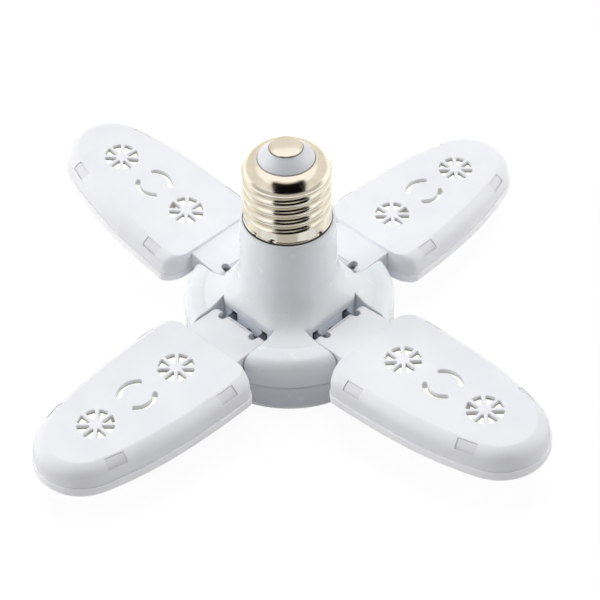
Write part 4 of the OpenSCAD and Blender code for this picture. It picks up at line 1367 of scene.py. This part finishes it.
def direction(turn, rise):
    """Unit vector from the lamp, turned from -Y towards +X and raised, in degrees."""
    a, e = radians(turn), radians(rise)
    return Vector((sin(a) * cos(e), -cos(a) * cos(e), sin(e)))


def looking_from(place, roll=0.0):
    """Matrix of an object at a place that faces the target."""
    back = (place - TARGET).normalized()
    right = Vector((0, 0, 1)).cross(back).normalized()
    up = back.cross(right)
    roll = radians(roll)
    across = right * cos(roll) + up * sin(roll)
    above = up * cos(roll) - right * sin(roll)
    return Matrix.Translation(place) @ Matrix((across, above, back)).transposed().to_4x4()


def make_camera():
    data = bpy.data.cameras.new("camera")
    data.lens, data.sensor_width = CAMERA_LENS, SENSOR
    data.shift_x, data.shift_y = CAMERA_SHIFT
    data.clip_start, data.clip_end = 0.02, 20
    camera = linked(bpy.data.objects.new("camera", data))
    place = TARGET + direction(CAMERA_TURN, CAMERA_RISE) * CAMERA_DISTANCE
    camera.matrix_world = looking_from(place, CAMERA_ROLL)
    bpy.context.scene.camera = camera


def softbox(name, turn, rise, distance, size, power):
    """Area lamp that faces the object. Its turn is measured from the camera's."""
    data = bpy.data.lights.new(name, "AREA")
    data.shape, data.size, data.size_y = "RECTANGLE", size[0], size[1]
    data.energy = power
    lamp = linked(bpy.data.objects.new(name, data))
    lamp.matrix_world = looking_from(TARGET + direction(CAMERA_TURN + turn, rise) * distance)
    lamp.visible_glossy = False


def make_world():
    """White to the camera. Mirrored, it is white overhead and duller round the horizon."""
    world = bpy.data.worlds.new("studio")
    bpy.context.scene.world = world
    world.use_nodes = True
    tree = Tree(world.node_tree)
    background = world.node_tree.nodes["Background"]
    seen, mirrored = tree.light_path("Camera"), tree.light_path("Glossy")
    x, y, z = tree.axes(tree.make("ShaderNodeTexCoord", output="Generated"))
    side = y.math("ARCTAN2", x) * 3.0
    folds = tree.noise(tree.make("ShaderNodeCombineXYZ", {}, [side, 0.0, 0.0]), 1.0, 1.0)
    wall = tree.mix(folds, (1.1, 1.08, 1.04, 1), (0.7, 0.67, 0.62, 1))
    room = tree.mix(z.between(0.66, 0.72), wall, (1.2, 1.19, 1.18, 1))
    colour = tree.mix(mirrored, WHITE, room)
    strength = largest(seen, mirrored, FILL_LIGHT)
    world.node_tree.links.new(colour.socket, background.inputs["Color"])
    world.node_tree.links.new(strength.socket, background.inputs["Strength"])


def bare_material(name):
    """A material without a shader, and its tree."""
    material = bpy.data.materials.new(name)
    material.use_nodes = True
    material.node_tree.nodes.clear()
    return material, Tree(material.node_tree)


def make_floor():
    """White floor that keeps the lamp's shadow and is open from below. Under the hub it
    glows, so that the hub's cover isn't dark from below."""
    half = FLOOR_HALF
    floor = piece_of("floor", [(-half, -half, 0), (half, -half, 0), (half, half, 0),
                               (-half, half, 0)], [(0, 1, 2, 3)])
    material, tree = bare_material("white floor")
    seen, mirrored = tree.light_path("Camera"), tree.light_path("Glossy")
    through = tree.light_path("Transmission")
    paper = tree.make("ShaderNodeBsdfDiffuse", {}, {"Color": (0.93, 0.93, 0.93, 1)})
    x, y, z = tree.axes(tree.place())
    behind = direction(CAMERA_TURN + 180, 0)
    far = (x * behind.x + y * behind.y).between(-75 * MM, 75 * MM)
    level = far * (MIRRORED_FAR - MIRRORED_NEAR) + MIRRORED_NEAR
    glow = tree.make("ShaderNodeEmission", {}, {
        "Color": tree.mix(mirrored, WHITE, (1, 0.96, 0.88, 1)),
        "Strength": FLOOR_LEVEL - mirrored * (FLOOR_LEVEL - level)})
    under = length_of(x, y).fading((HUB_R - 3.0) * MM, (HUB_R - 2.0) * MM)
    share = largest(seen * FLOOR_GLOW, mirrored, through, under * LIGHT_UNDER_HUB)
    top = tree.make("ShaderNodeMixShader", {}, [share, paper, glow])
    clear = tree.make("ShaderNodeBsdfTransparent", {}, {"Color": WHITE})
    below = tree.make("ShaderNodeNewGeometry", output="Backfacing")
    side = tree.make("ShaderNodeMixShader", {}, [below, top, clear])
    tree.make("ShaderNodeOutputMaterial", {}, {"Surface": side})
    floor.data.materials.append(material)


def make_dark_card():
    """Dark room behind the camera, as part of a sphere that shows only in reflections.
    Above DUSK degrees it fades to the light of the room."""
    radius, low, high, spread, steps = 900.0, -4.0, 76.0, 38.0, 12
    points = []
    for i in range(steps + 1):
        for j in range(steps + 1):
            wide = spread * (1 + (j / steps) ** 2)
            toward = direction(CAMERA_TURN + CARD_TURN + wide * (2 * i / steps - 1),
                               low + (high - low) * j / steps)
            points.append(TARGET / MM + toward * radius)
    faces = []
    for i in range(steps):
        for j in range(steps):
            at = i * (steps + 1) + j
            faces.append((at, at + 1, at + steps + 2, at + steps + 1))
    card = piece_of("dark_card", points, faces)
    material, tree = bare_material("black card")
    height = (tree.axes(tree.place())[2] - TARGET.z) / (radius * MM)
    dusk, dawn = sin(radians(DUSK)), sin(radians(high))
    glow = height.between(dusk, dusk + 0.01) * 0.3 + height.between(dusk, dawn) * 0.7
    shade = tree.make("ShaderNodeEmission", {}, {
        "Color": tree.mix(glow, BLACK, (1.2, 1.12, 0.98, 1)), "Strength": 1.0})
    tree.make("ShaderNodeOutputMaterial", {}, {"Surface": shade})
    card.data.materials.append(material)
    card.visible_camera = card.visible_diffuse = card.visible_shadow = False
    card.visible_transmission = False


make_camera()
for box in SOFTBOXES:
    softbox(*box)
make_world()
make_floor()
make_dark_card()
bpy.context.scene.view_settings.view_transform = "Standard"
